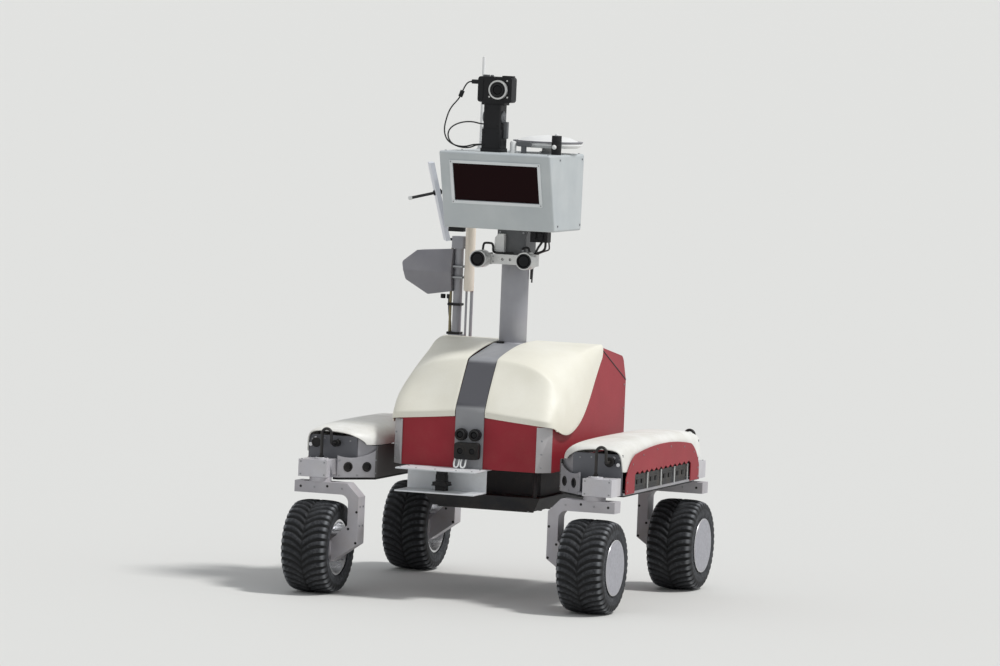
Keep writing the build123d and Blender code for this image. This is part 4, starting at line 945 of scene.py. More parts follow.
# piece: (finish, bevel in mm)
dressing = {
    "pod_frames": (frame_sheet, 0.8), "battery_packs": (battery_abs, 1.6),
    "fenders": (red_paint, 0.8), "steering_gearboxes": (gearbox_paint, 1.6),
    "steering_plugs": (black_abs, 0.8), "steering_cables": (cable_jacket, 0),
    "hull": (red_paint, 1.5), "corner_strips": (strip_silver, 0.6),
    "rear_panel": (pod_aluminium, 0.6), "centre_strip": (strip_paint, 0.8),
    "belly_pan": (dark_primer, 2.0), "pivot_axles": (pod_aluminium, 0.8),
    "nose_bracket": (white_enamel, 0.8), "laser_scanner": (black_abs, 1.0),
    "hazard_cameras": (black_abs, 0.6), "range_sensor": (black_abs, 1.2), "mast": (mast_paint, 0.8),
    "mast_block": (dark_anodise, 1.2), "stereo_bar": (silver_anodise, 0.8),
    "stereo_cameras": (silver_anodise, 0.8), "lidar_case": (lidar_paint, 0),
    "lidar_window": (window_acrylic, 0), "satellite_antenna": (white_radome, 0.8),
    "whip_antenna": (white_radome, 0.5), "beacon": (black_abs, 1.0), "pan_base": (black_abs, 1.0),
    "pan_head": (black_abs, 1.6), "camera_body": (black_abs, 1.4),
    "camera_lens": (silver_anodise, 0.6), "camera_plug": (black_abs, 0.8),
    "cable_bead": (black_abs, 1.0), "rear_pole": (mast_paint, 0.8),
    "radio_housing": (radio_shell, 1.6), "panel_antenna": (panel_radome, 1.2),
}
for corner in corners:
    dressing[f"fork_{corner}"] = (fork_paint, 1.2)
    dressing[f"rim_{corner}"] = (rim_material, 0.6)
for name, (material, bevel) in dressing.items():
    node = nodes[name]
    node.data.materials.clear()
    node.data.materials.append(material)
    if bevel:
        weld = node.modifiers.new("weld", "WELD")
        weld.merge_threshold = weld_reach * MM
        soften_edges(node, bevel, 35)
print("construction pieces dressed:", len(dressing))


# %% [markdown]
# ## Screws, sockets and turned fittings
# A small turned fitting is a profile spun about its axis and stood on a face. Writing the place
# and the way it looks for each one keeps them in short lists, and one object holds all those of
# one kind on one moving body, so that they ride with it.

# %% Fitting helpers
AHEAD, BEHIND, BELOW = (0, -1, 0), (0, 1, 0), (0, 0, -1)


def screw_head(radius=3.0, height=1.8):
    """A socket screw: a low drum with a chamfer and a sunk round socket."""
    return spun([(radius, 0), (radius, height * 0.8), (radius * 0.9, height),
                 (radius * 0.55, height), (radius * 0.5, height * 0.45), (0.01, height * 0.45)], 18)


def screws(places, facing, radius=3.0, height=1.8):
    """Socket screws at places in mm that all look one way."""
    return [placed(screw_head(radius, height), where, facing) for where in places]


def turned(profile, where, facing=UP, steps=24):
    """A turned fitting: a profile of (radius, height) pairs in mm stood on a face."""
    return placed(spun(profile, steps), where, facing)


def drum(radius, height, where, facing=UP, steps=24, edge=0.8):
    """A turned drum with a small chamfer round its free end."""
    profile = [(radius, 0), (radius, height - edge), (radius - edge, height)]
    return turned(profile, where, facing, steps)


def fixed_wire(name, route, radius, material):
    """A wire tied down along its run, so that it is rigid with the chassis."""
    wire = cable_curve(name, route, radius, material, roundness=3, steps=6)
    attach(wire, "chassis")


print("faces in one screw head:", len(screw_head()[1]))


# %% [markdown]
# ## Forks
# Each fork is milled plate with blind holes, most of them unused: from the front they are black
# dots. They are short black plugs here, because a real hole would need the plate's mesh cut.
# Zinc plated screws join the plates, and four more hold the leg's inner face.

# %% Fork sockets and screws
fork_half = 25
leg_face, leg_middle = 271, 215
socket_spots = [(275.5, 227), (298, 180), (275.5, 143), (440, 288), (363, 292)]
screw_spots = [(320, 288), (400, 288)]
for corner, (side, end) in corners.items():
    sockets, bolts = [], []
    for out in (1, -1):
        face = end * (half_wheelbase + out * fork_half)
        looks = (0, end * out, 0)
        sockets += [drum(3.6, 0.5, (side * x, face, z), looks, 16, 0.2) for x, z in socket_spots]
        bolts += screws([(side * x, face, z) for x, z in screw_spots], looks, 2.6, 1.4)
    bolts += screws([(side * leg_face, end * half_wheelbase + shift, leg_middle + lift)
                     for shift in (-12, 12) for lift in (-26, 26)], (-side, 0, 0), 3.0, 1.6)
    make_piece(f"fork_sockets_{corner}", sockets, black_abs, f"steer_{corner}")
    make_piece(f"fork_screws_{corner}", bolts, zinc_steel, f"steer_{corner}")
print("each fork has", len(sockets), "sockets and", len(bolts), "screws")


# %% [markdown]
# ## Steering gearboxes
# A grey box above each fork holds the steering gear. Its lid and its front are screwed on. The
# steering cable leaves it upwards through a clamped gland on a turned seat, and enters the pod
# through a stepped collar. All of these are turned shapes, so each is a profile and a place.

# %% Steering gearbox fittings
box_middle = Vector((407, 374, 338.5))
box_front, box_lid, gland_foot = 414, 362, 366
collar_shift, collar_face, collar_height = 27, 357, 405
gland_profile = [(9, 0), (9, 2), (6.5, 2.4), (6.5, 7), (4.4, 8.5), (4.4, 12), (3.6, 13)]
collar_profile = [(13.5, 0), (13.5, 1.6), (11.5, 2.6), (10.2, 2.6), (10.2, 1.2)]
glands, gland_seats, box_screws, collars = [], [], [], []
for side, end in corners.values():
    x, y = side * half_track, end * half_wheelbase
    glands.append(turned(gland_profile, (x, y, gland_foot)))
    gland_seats.append(drum(15.5, 2.0, (x, y, gland_foot), steps=32))
    box_screws += screws([(side * (box_middle.x + dx), end * box_front, box_middle.z + dz)
                          for dx in (-34, 34) for dz in (-17, 17)], (0, end, 0), 2.2, 1.2)
    box_screws += screws([(side * (box_middle.x + dx), end * (box_middle.y + dy), box_lid)
                          for dx in (-34, 34) for dy in (-33, 33)], UP, 2.4, 1.4)
    where = (side * (half_track + collar_shift), end * collar_face, collar_height)
    collars.append(turned(collar_profile, where, (0, end, 0), 28))
make_piece("steering_glands", glands, black_abs, "chassis")
make_piece("gland_seats", gland_seats, turned_aluminium, "chassis")
make_piece("gearbox_screws", box_screws, zinc_steel, "chassis")
make_piece("plug_collars", collars, black_abs, "chassis")
print("gearboxes dressed:", len(glands), "with", len(box_screws), "screws")


# %% [markdown]
# ## Side pods: nose plates and end plates
# A pod is folded sheet closed by riveted plates. Rubber plugs fill the two holes in each slanted
# nose plate, and small connectors sit beside the steering plug on the end plate. A slanted plate
# has its own directions, a run along it and a normal out of it, worked out from its two ends.

# %% Pod plate fittings
nose_start, nose_stop = Vector((262, 300, 0)), Vector((346, 384, 0))
nose_run = (nose_stop - nose_start).normalized()
nose_normal = Vector((-nose_run.y, nose_run.x, 0))
nose_middle = (nose_start + nose_stop) / 2
pod_end = 335
plug_profile = [(13.6, -3), (13.6, 0.8), (12.6, 1.5), (9.5, 1.5), (8.2, -2.5)]
rivet_profile = [(2.6, 0), (2.4, 0.8), (1.2, 1.4)]
plugs, rivets, connectors = [], [], []
for side, end in corners.values():
    looks = (side * nose_normal.x, end * nose_normal.y, 0)
    for along in (-28, 28):
        spot = nose_middle + nose_run * along
        plugs.append(turned(plug_profile, (side * spot.x, end * spot.y, 344), looks, 28))
    for along, z in ((-54, 326), (-54, 362), (0, 322), (54, 322), (54, 362)):
        spot = nose_middle + nose_run * along
        rivets.append(turned(rivet_profile, (side * spot.x, end * spot.y, z), looks, 14))
    rivets += screws([(side * x, end * pod_end, z)
                      for x, z in ((330, 412), (362, 414), (404, 416), (441, 412))], (0, end, 0), 2.4, 1.2)
    connectors.append(drum(5.5, 12, (side * 441, end * pod_end, 398), (0, end, 0), 18))
    connectors.append(drum(4.0, 9, (side * 428, end * pod_end, 416), (0, end, 0), 18))
make_piece("nose_plate_plugs", plugs, black_abs, "chassis")
make_piece("pod_rivets", rivets, zinc_steel, "chassis")
make_piece("pod_connectors", connectors, turned_aluminium, "chassis", 0.4)
print("rivets and screws on the pods' plates:", len(rivets))


# %% [markdown]
# ## Side pods: battery packs
# Four packs slide into each pod behind the fender's teeth. Bright dividers hold them apart, and
# each has two latches and two ribs on its face. These stand only a few millimetres off the case,
# so they are thin blocks laid on it.

# %% Battery fittings
battery_face, pack_pitch = 449, 118


def on_battery(side, rise, low, high):
    """A thin block on the outboard face of one side's packs, between two (y, z) corners."""
    x0, x1 = sorted((side * battery_face, side * (battery_face + rise)))
    return slab((x0, *low), (x1, *high))


dividers, latches, pack_ribs = [], [], []
for side in (LEFT, RIGHT):
    for place in (-2, -1, 0, 1, 2):
        y = pack_pitch * place
        dividers.append(on_battery(side, 4, (y - 3, 318), (y + 3, 366)))
    for place in (-1.5, -0.5, 0.5, 1.5):
        y = pack_pitch * place
        latches.append(on_battery(side, 2.5, (y - 30, 338), (y - 12, 350)))
        latches.append(on_battery(side, 2.5, (y + 12, 338), (y + 30, 350)))
        pack_ribs.append(on_battery(side, 1.5, (y - 44, 352), (y + 44, 355)))
        pack_ribs.append(on_battery(side, 1.5, (y - 44, 329), (y + 44, 331)))
make_piece("battery_dividers", dividers, silver_anodise, "chassis", 0.6)
make_piece("battery_latches", latches, black_abs, "chassis", 0.6)
make_piece("battery_ribs", pack_ribs, battery_abs, "chassis", 0.4)
print("battery packs on each side:", len(latches) // 4)


# %% [markdown]
# ## Side pods: undertrays
# A black tray closes each pod from below, over the swing of the forks. Its black is painted
# shade: it draws the dark band of shade beneath the pods. It follows the slanted nose plates, so
# it is a flat outline pushed a few millimetres up. On the right the outline is gone round the
# other way, so that the mirrored faces still look outwards.

# %% Pod undertrays
tray_front = [(267, -297), (346, -376), (362, -376), (362, -300), (446, -300)]
tray_outline = tray_front + [(x, -y) for x, y in reversed(tray_front)]
tray_faces = (308.5, 315.2)
undertrays = []
for side in (LEFT, RIGHT):
    lower, upper = [[(side * x, y, z) for x, y in tray_outline[::side]] for z in tray_faces]
    undertrays.append(prism(lower, upper))
# The trays' black is painted shade under the pods.
make_piece("pod_shade_trays", undertrays, black_abs, "chassis", 0.6)
print("corners of an undertray:", len(tray_outline))


# %% [markdown]
# ## Fenders and pivots
# Ten screws hold each fender along its arched edge. Where a pod's axle enters the hull, a six
# sided nut sits in a ring of four screws.

# %% Fender and pivot screws
fender_face, hull_side, pivot_face, pivot_height = 458, 226, 227, 383
half_arch = [(310, 326), (310, 350), (268, 396), (180, 416), (60, 424)]
arch_spots = [(-y, z) for y, z in half_arch] + list(reversed(half_arch))
nut_profile = [(17, 0), (17, 1.5), (13, 2), (13, 10), (11.5, 11.5)]
fender_screws, pivot_nuts = [], []
for side in (LEFT, RIGHT):
    sideways = (side, 0, 0)
    fender_screws += screws([(side * fender_face, y, z) for y, z in arch_spots], sideways, 2.6, 0.9)
    pivot_nuts.append(turned(nut_profile, (side * hull_side, 0, pivot_height), sideways, 6))
    pivot_nuts += screws([(side * pivot_face, 60 * cos(a), pivot_height + 34 * sin(a))
                          for a in (0.6, 2.5, 3.8, 5.6)], sideways, 4, 2.4)
make_piece("fender_screws", fender_screws, zinc_steel, "chassis")
make_piece("pivot_screws", pivot_nuts, zinc_steel, "chassis", 0.4)
print("fender screws:", len(fender_screws))


# %% [markdown]
# ## Nose: camera eyes and range sensor
# Under the cowls the nose carries two camera eyes above a range sensor with two windows. Lenses
# are domes of coated glass in a black ring, because a flat disc would not catch the sky as a lens
# does. Small screws hold the corner strips.

# %% Nose eyes
nose_face, strip_middle = -303, 209
strip_screws = screws([(side * strip_middle, nose_face, z) for side in (LEFT, RIGHT)
                       for z in (372, 408, 444)], AHEAD, 2.6, 1.4)
strip_screws += screws([(x, nose_face, z) for x in (-30, 30) for z in (366, 376)], AHEAD, 2.4, 1.2)
make_piece("corner_strip_screws", strip_screws, zinc_steel, "chassis")
eye_profile = [(14, 0), (14, 5), (12.4, 6.5), (9.6, 6.5), (8.6, 2)]
eye_dome = [(9, 0), (9, 3), (7.6, 4.4), (5, 5.3), (2, 5.8), (0.2, 5.9)]
window_profile = [(12, 0), (12, 1.6), (11, 2.4), (8.4, 2.4), (7.4, 0.6)]
window_dome = [(8, 0), (7.4, 1.0), (4, 1.7), (0.2, 1.9)]
eye_rings, eye_glass = [], []
for spread, y, z, ring, dome in ((20, -317, 449, eye_profile, eye_dome),
                                 (17, -323, 405, window_profile, window_dome)):
    for x in (-spread, spread):
        eye_rings.append(turned(ring, (x, y, z), AHEAD, 28))
        eye_glass.append(turned(dome, (x, y, z), AHEAD, 28))
make_piece("nose_eye_rings", eye_rings, black_abs, "chassis")
make_piece("nose_eye_glass", eye_glass, lens_glass, "chassis", smooth_angle=60)
print("glass eyes on the nose:", len(eye_glass))


# %% [markdown]
# ## Nose: wire clips, bracket and laser scanner
# Two white clips of bent wire hang under the range sensor. Below them the white bracket carries
# the laser scanner, a black drum whose glass band goes all the way round. The clips and the
# scanner's cable are curves with a round section, which bend like wire without any modelling.

# %% Bracket and scanner fittings
for name, x in (("outer", -25), ("inner", -6)):
    clip_route = [(x - 6, -318, 384), (x - 7, -326, 374), (x - 6, -330, 363), (x, -331, 359.5),
                  (x + 6, -330, 363), (x + 7, -326, 374), (x + 6, -318, 384)]
    fixed_wire(f"sensor_clip_{name}", clip_route, 2.4, white_radome)
bracket_top = 357
bracket_screws = screws([(x, -396, bracket_top) for x in (-160, -115, -60, 0, 45)], UP, 2.6, 1.3)
bracket_screws += screws([(x, -330, bracket_top) for x in (-160, 45)], UP, 3.2, 1.8)
make_piece("bracket_screws", bracket_screws, zinc_steel, "chassis")
scan_x, scan_y, pad_half = -58, -345, 22
scanner_window = [turned([(17.3, 0), (17.3, 14)], (scan_x, scan_y, 326), steps=32)]
make_piece("scanner_window", scanner_window, lens_glass, "chassis")
scanner_trim = [slab((scan_x - pad_half, scan_y - pad_half, 310),
                     (scan_x + pad_half, scan_y + pad_half, 312.5)),
                turned([(15, 0), (15, 2), (11, 4)], (scan_x, scan_y, 350), steps=28)]
make_piece("scanner_trim", scanner_trim, black_abs, "chassis", 0.6)
scanner_route = [(scan_x, -325, 316), (scan_x, -316, 316), (-56, -308, 318), (-52, -300, 326),
                 (-48, -292, 340), (-46, -284, 350)]
fixed_wire("scanner_cable", scanner_route, 2.6, cable_jacket)
print("bracket screws:", len(bracket_screws))


# %% [markdown]
# ## Hull: screws, cheeks and folds
# The hull is a sheet metal box, screwed along its lower and rear edges. A red cheek plate closes
# each side between the cowl's rear edge and the hull, flush with its side, and a thin dark bead
# lies along the fold between the side and its shoulder facet, drawing the thin dark line there.

# %% Hull sides
hull_rear = 348
side_spots = [(y, 368) for y in (-90, 0, 90, 180, 270, 330)] + [(330, z) for z in (430, 500, 565)]
rear_spots = [(x, z) for x in (-171, -57, 57, 171) for z in (388, 547)] + [(-171, 467), (171, 467)]
hull_screws = []
for side in (LEFT, RIGHT):
    hull_screws += screws([(side * hull_side, y, z) for y, z in side_spots], (side, 0, 0), 2.6, 1.3)
hull_screws += screws([(x, hull_rear, z) for x, z in rear_spots], BEHIND, 3, 1.6)
make_piece("hull_screws", hull_screws, zinc_steel, "chassis")
# A cheek's outline as (y, z), and the places across of its two faces
cheek_outline = [(103.9, 600.1), (103.9, 668), (62, 658), (8, 602), (8, 586.2)]
cheek_faces = (222.5, 225.9)
cheeks, fold_beads = [], []
for side in (LEFT, RIGHT):
    inner, outer = [[(side * x, y, z) for y, z in cheek_outline[::side]] for x in cheek_faces]
    cheeks.append(prism(inner, outer))
    fold_beads.append(pipe([(side * hull_side, 107, 680.8), (side * hull_side, 342, 579.4)], 1.7))
make_piece("hull_cheeks", cheeks, red_paint, "chassis")
make_piece("hull_fold_beads", fold_beads, dark_primer, "chassis")
print("screws on the hull:", len(hull_screws))


# %% [markdown]
# ## Hull: rear service panel
# The panel behind carries five connectors, louvres and two lifting handles. The louvres could be
# cut in the panel, but bevelled strips laid on it look the same and leave its mesh alone.

# %% Rear panel fittings
handle_path = [(346, 486), (366, 486), (372, 492), (372, 538), (366, 544), (346, 544)]
handles = [pipe([(x, y, z) for y, z in handle_path], 5) for x in (-128, 128)]
make_piece("rear_handles", handles, zinc_steel, "chassis")
rear_sockets, rear_caps = [], []
for x, r in ((-84, 15), (-36, 15), (12, 12), (54, 12), (94, 12)):
    where = (x, hull_rear, 424)
    socket_profile = [(r, 0), (r, 3), (r - 3, 4), (r - 3, 14), (r - 4.5, 15)]
    rear_sockets.append(turned(socket_profile, where, BEHIND, 28))
    rear_caps.append(turned([(r - 4.6, 0), (r - 4.6, 17), (r - 6, 18.5)], where, BEHIND, 24))
make_piece("rear_connectors", rear_sockets, turned_aluminium, "chassis")
make_piece("rear_connector_caps", rear_caps, black_abs, "chassis")
louvres = [slab((-60, 347.5, 478 + 10 * row), (60, 349.4, 483 + 10 * row)) for row in range(6)]
make_piece("rear_vent_louvres", louvres, pod_aluminium, "chassis", 0.9)
print("connectors and louvres:", len(rear_sockets), "and", len(louvres))


# %% [markdown]
# ## Deck: the foot of the mast
# A black grommet takes the wires down through the deck, and a weld bead runs round the mast's
# foot. Such a bead is small, but without it two plain solids seem only to touch.

# %% Mast foot
deck = 682
grommet = [drum(10, 6, (-21, -14, deck), steps=24, edge=2),
           slab((-32, -22, deck), (-12, -12, deck + 5))]
make_piece("mast_grommet", grommet, black_abs, "chassis", 1.0)
weld_bead = [turned([(40.5, 0), (40, 2), (38.4, 3.4)], (0, 22, deck), steps=48)]
make_piece("mast_weld_bead", weld_bead, mast_paint, "chassis")
print("deck at", deck, "mm")


# %% [markdown]
# ## Sensor head: stereo cameras
# The mast's head is a dark block with a bar of two stereo cameras before it. Each camera gets a
# black lens ring with a glass dome in it, and screws hold the bar and the block.

# %% Stereo camera fittings
lens_profile = [(20.5, 0), (20.5, 2.5), (19.6, 3.5), (17.5, 3.5), (16, 0.5)]
lens_dome = [(16.4, 0), (16.2, 1.2), (13.5, 2.8), (9, 4.0), (4, 4.6), (0.2, 4.7)]
stereo_rings, stereo_glass = [], []
for where in ((-67, -104, 915), (67, -104, 915)):
    stereo_rings.append(turned(lens_profile, where, AHEAD, 40))
    stereo_glass.append(turned(lens_dome, where, AHEAD, 40))
make_piece("stereo_lens_rings", stereo_rings, black_abs, "chassis")
make_piece("stereo_lens_glass", stereo_glass, lens_glass, "chassis", smooth_angle=60)
head_screws = screws([(x, -58, z) for x in (-38, 38) for z in (908, 922)], AHEAD, 2.2, 1.2)
head_screws += screws([(x, -20, z) for x in (-34, 34) for z in (940, 988)], AHEAD, 3.0, 1.8)
for side in (LEFT, RIGHT):
    block_spots = [(side * 42, y, z) for y in (-8, 52) for z in (925, 988)]
    head_screws += screws(block_spots, (side, 0, 0), 3.0, 1.8)
make_piece("head_screws", head_screws, zinc_steel, "chassis")
print("head screws:", len(head_screws))


# %% [markdown]
# ## Sensor head: wires of the stereo cameras
# Black wires run from the stereo cameras to the block. Each is tied down, so it is a curve through
# a few points that lie on what it passes, read off the picture across and up and guessed in
# depth. A white link stands beside the block: its outline with one corner cut off is given the
# thickness between two faces.

# %% Stereo wires and link
stereo_routes = {
    "left": [(-74, -44, 938), (-74, -42, 952), (-70, -40, 957), (-58, -38, 957), (-49, -38, 956),
             (-46, -38, 948), (-46, -40, 938), (-42, -42, 932), (-30, -42, 931), (-8, -42, 931),
             (14, -40, 932)],
    "right": [(58, -34, 938), (56, -32, 946), (50, -30, 950), (40, -28, 948), (34, -24, 944)],
    "block": [(76, -34, 936), (80, -32, 948), (86, -30, 958), (96, -30, 972)],
}
for name, route in stereo_routes.items():
    fixed_wire(f"stereo_cable_{name}", route, 3.2, cable_jacket)
# The link's outline as (x, z), and the places along of its front and rear faces
link_outline = [(-45, 929), (-44, 972), (-34, 984), (-16, 984), (-16, 929)]
link_faces = (-35, -20)
front, rear = [[(x, y, z) for x, z in link_outline] for y in link_faces]
make_piece("stereo_link", [prism(front, rear)], white_radome, "chassis", 1.2)
print("wires at the stereo cameras:", len(stereo_routes))


# %% [markdown]
# ## Sensor head: plugs and wires of the lidar
# Black plugs stand under the lidar, and two black wires of different thickness run from them
# round the block and down the mast, tied down like the others.

# %% Lidar plugs and wires
plugs = [slab((62, -46, 966), (112, -14, 998)), slab((70, -52, 974), (80, -46, 994)),
         slab((88, -52, 970), (100, -46, 992)), slab((-156, -104, 986), (-112, -82, 998.5))]
make_piece("lidar_plugs", plugs, black_abs, "chassis", 1.5)
thick_route = [(100, -24, 968), (100, -22, 952), (92, -14, 942), (76, 4, 936), (56, 20, 932),
               (44, 30, 925), (43, 32, 905), (43, 32, 860)]
thin_route = [(108, -20, 968), (108, -12, 952), (100, 6, 944), (84, 22, 940), (58, 34, 930),
              (46, 42, 918), (42, 44, 890), (41, 44, 850)]
fixed_wire("lidar_cable", thick_route, 3.4, cable_jacket)
fixed_wire("lidar_cable_thin", thin_route, 2.2, cable_jacket)
print("plugs under the lidar:", len(plugs))


# %% [markdown]
# ## Lidar: the window's bezel
# The lidar's window sits in a raised pale bezel. It could be cut from one plate, but four strips
# are simpler: each is written in the sloping face's own directions, across, up the slope and out
# of it, and one function lays them on the face.

# %% Lidar bezel
slope_up = Vector((0, -0.2957, 0.9553))
slope_out = Vector((0, -0.9553, -0.2957))
slope_foot = Vector((0, -128, 999))
bezel_rise = 2.2


def on_slope(shape):
    """A shape given as (across, up the slope, out of it) in mm, laid on the lidar's front."""
    points = [Vector((a, 0, 0)) + slope_foot + slope_up * u + slope_out * o for a, u, o in shape[0]]
    return points, shape[1]


bezel = [slab((-131, 185.8, -1), (131, 194.7, bezel_rise)),
         slab((-131, 70.6, -1), (131, 79.5, bezel_rise)),
         slab((-131, 79.5, -1), (-122, 185.8, bezel_rise)),
         slab((122, 79.5, -1), (131, 185.8, bezel_rise))]
make_piece("lidar_bezel", [on_slope(s) for s in bezel], bezel_paint, "chassis", 1.0)
bezel_screws = [on_slope(placed(screw_head(1.8, 0.8), (a, u, bezel_rise)))
                for a in (-126.5, 126.5) for u in (75, 190)]
make_piece("lidar_bezel_screws", bezel_screws, zinc_steel, "chassis")
print("lidar bezel laid on a slope of", round(degrees(slope_up.angle(Vector(UP))), 1), "degrees")


# %% [markdown]
# ## Lidar: case screws, cooling fins and socket
# The lidar's case is screwed along its lid and sides. Its back is not in the picture: it has the
# cooling fins and the one round socket that such a case has.

# %% Lidar case fittings
lidar_lid, lidar_side = 1209, 160
case_screws = screws([(x, y, lidar_lid) for x in (-148, 148) for y in (-170, -40, 88)], UP, 3.0, 1.8)
for side in (LEFT, RIGHT):
    case_screws += screws([(side * lidar_side, y, z) for y in (-104, 82) for z in (1015, 1195)],
                          (side, 0, 0), 3.0, 1.8)
make_piece("lidar_case_screws", case_screws, zinc_steel, "chassis")
fins = [slab((x, 92, 1030), (x + 4, 106, 1150)) for x in range(-130, 131, 13)]
make_piece("lidar_cooling_fins", fins, lidar_paint, "chassis", 0.8)
lidar_socket = [drum(17, 3, (118, 97, 1180), BEHIND, 28), drum(12, 22, (118, 99, 1180), BEHIND, 28)]
make_piece("lidar_rear_socket", lidar_socket, turned_aluminium, "chassis")
print("cooling fins:", len(fins))


# %% [markdown]
# ## On the lidar: disc, whip aerial and beacon
# The disc is a moulded radome on a short stub, held by a six sided nut, and a seam runs round its
# rim. The whip aerial rises from a turned ferrule. The beacon is a black ribbed knob with a
# white cap and a small lamp. A white knob and a dark link bar stand in front of the disc.

# %% Lidar top fittings
disc_x, disc_y = 83, 12
beacon_x, beacon_y = 143, -90
disc_seam = [turned([(95.8, 0), (96.2, 1.5), (95.8, 3)], (disc_x, disc_y, 1240), steps=72)]
make_piece("disc_seam", disc_seam, radio_shell, "chassis")
disc_nut = [turned([(24, 0), (24, 4), (20, 5)], (disc_x, disc_y, lidar_lid), steps=6),
            drum(19, 3, (disc_x, disc_y, 1222), steps=32)]
make_piece("disc_nut", disc_nut, zinc_steel, "chassis")
ferrule_profile = [(9.4, 0), (9.4, 4), (7, 5), (7, 14), (5, 17), (5, 22)]
whip_ferrule = [turned(ferrule_profile, (-130, 62, lidar_lid), steps=28)]
make_piece("whip_ferrule", whip_ferrule, turned_aluminium, "chassis")
cap_profile = [(6, 0), (6, 2), (5, 4.5), (2.4, 6), (0.2, 6.4)]
beacon_cap = [turned(cap_profile, (beacon_x, beacon_y, 1260.5))]
make_piece("beacon_cap", beacon_cap, white_radome, "chassis", smooth_angle=60)
beacon_lamp = [turned([(6.5, 0), (6, 2), (4, 4), (0.2, 5)], (141, -103, 1230), AHEAD)]
make_piece("beacon_lamp", beacon_lamp, white_radome, "chassis", smooth_angle=60)
top_link = [turned([(9, 0), (9, 26), (7, 31), (0.2, 33)], (20, -95, lidar_lid), steps=28)]
make_piece("top_link", top_link, white_radome, "chassis", smooth_angle=50)
top_bar = [slab((31, -101, 1228), (72, -90, 1241)), slab((44, -100, lidar_lid), (58, -91, 1229))]
make_piece("top_bar", top_bar, dark_anodise, "chassis", 1.6)
beacon_rings = [turned([(13.8, 0), (14.3, 1), (13.8, 2)], (beacon_x, beacon_y, 1222 + 12 * k), steps=28)
                for k in range(3)]
make_piece("beacon_rings", beacon_rings, black_abs, "chassis")
print("beacon rings:", len(beacon_rings))


# %% [markdown]
# ## The pan unit
# The pan and tilt unit is two black blocks with screws in front, a side bar, a white cable link
# and a stepped disc at each end of the tilt axle. All of it turns with the camera, so every
# piece here rides on the panning body and none on the chassis.

# %% Pan unit fittings
pan_screws = screws([(pan_x + dx, -123, z) for dx in (-20, 20) for z in (1228, 1262)], AHEAD, 2.2, 1.2)
pan_screws += screws([(pan_x + dx, -120, z) for dx in (-17, 17) for z in (1282, 1328)], AHEAD, 2.2, 1.2)
make_piece("pan_screws", pan_screws, black_abs, "camera_pan")
side_bar = [slab((-8, -103, 1246), (3, -88, 1292))]
make_piece("pan_side_bar", side_bar, dark_anodise, "camera_pan", 1.5)
pan_link = [slab((-75, -93, 1261), (-60, -80, 1275))]
make_piece("pan_cable_link", pan_link, white_radome, "camera_pan", 1.5)
tilt_profile = [(17, 0), (17, 2.5), (15, 4), (9, 4), (8, 5.5), (2, 6)]
tilt_discs = [turned(tilt_profile, (pan_x + side * 25, -100, 1304), (side, 0, 0), 32)
              for side in (LEFT, RIGHT)]
make_piece("tilt_discs", tilt_discs, dark_anodise, "camera_pan")
print("pan unit screws:", len(pan_screws))


# %% [markdown]
# ## The camera's lens
# What tells a camera from a block is its lens. Three black rings step in towards a glass dome,
# round a silver barrel whose knurl is a ring of small teeth: a bump map would do from afar, but
# teeth catch the light at the barrel's edge too. The real knurl is finer than these.

# %% Camera lens
lens_x, lens_z = -20, 1379
barrel_face, lens_face = -115.5, -128.5
knurl_radius, knurl_half, knurl_teeth = 25.6, 0.7, 48
lens_rings = [
    turned([(26.4, 0), (26.4, 3), (25, 4)], (lens_x, barrel_face, lens_z), AHEAD, 48),
    turned([(21.8, 0), (21.8, 1.0), (20.5, 2.0), (18.5, 0.5)], (lens_x, lens_face, lens_z), AHEAD, 48),
    turned([(17.6, 0), (17.6, 1.6), (13.5, 2.4), (12.5, 0.8)], (lens_x, lens_face, lens_z), AHEAD, 40),
]
make_piece("camera_lens_rings", lens_rings, black_abs, "camera_pan")
front_dome = [(12.4, 0), (12.0, 1.2), (8, 2.4), (4, 2.9), (0.2, 3.0)]
front_glass = [turned(front_dome, (lens_x, lens_face, lens_z), AHEAD, 36)]
make_piece("camera_lens_glass", front_glass, lens_glass, "camera_pan", smooth_angle=60)
knurl = []
for tooth in range(knurl_teeth):
    turn = 2 * pi * tooth / knurl_teeth
    x, z = lens_x + knurl_radius * cos(turn), lens_z + knurl_radius * sin(turn)
    knurl.append(slab((x - knurl_half, -126, z - knurl_half), (x + knurl_half, -119, z + knurl_half)))
make_piece("camera_lens_knurl", knurl, silver_anodise, "camera_pan")
print("parts of the camera's lens:", len(lens_rings) + len(front_glass))


# %% [markdown]
# ## The camera's body
# The body is a plain black compact: two dials and a shutter button on top, a grip in front, a
# shoe for a flash, a lamp and two screws beside the lens, and a glass screen behind.

# %% Camera body fittings
camera_front, camera_lid = -115, 1413.5
dials = [turned([(9.5, 0), (9.5, 4), (8.6, 5)], (-66, -92, camera_lid), steps=36),
         turned([(5, 0), (5, 3.4), (4, 4.2)], (-49, -94, camera_lid), steps=28)]
make_piece("camera_dials", dials, dark_anodise, "camera_pan")
shutter = [turned([(3.6, 0), (3.2, 1.6), (1, 2.2)], (-49, -94, 1417), steps=20),
           drum(2.4, 0.8, (2, camera_front, 1404), AHEAD, 16, 0.3),
           drum(2.6, 0.8, (-48, camera_front, 1359), AHEAD, 16, 0.3),
           drum(2.6, 0.8, (4, camera_front, 1359), AHEAD, 16, 0.3)]
make_piece("camera_shutter", shutter, silver_anodise, "camera_pan")
grip_and_shoe = [slab((-16, -107, 1413), (14, -83, 1417.5)), slab((-80, -117, 1350), (-66, -114, 1408)),
                 slab((-60, -76, 1352), (12, -73.4, 1406))]
make_piece("camera_grip_and_shoe", grip_and_shoe, black_abs, "camera_pan", 1.3)
screen = [slab((-56, -74, 1356), (4, -72.8, 1400))]
make_piece("camera_screen", screen, lens_glass, "camera_pan", 0.3)
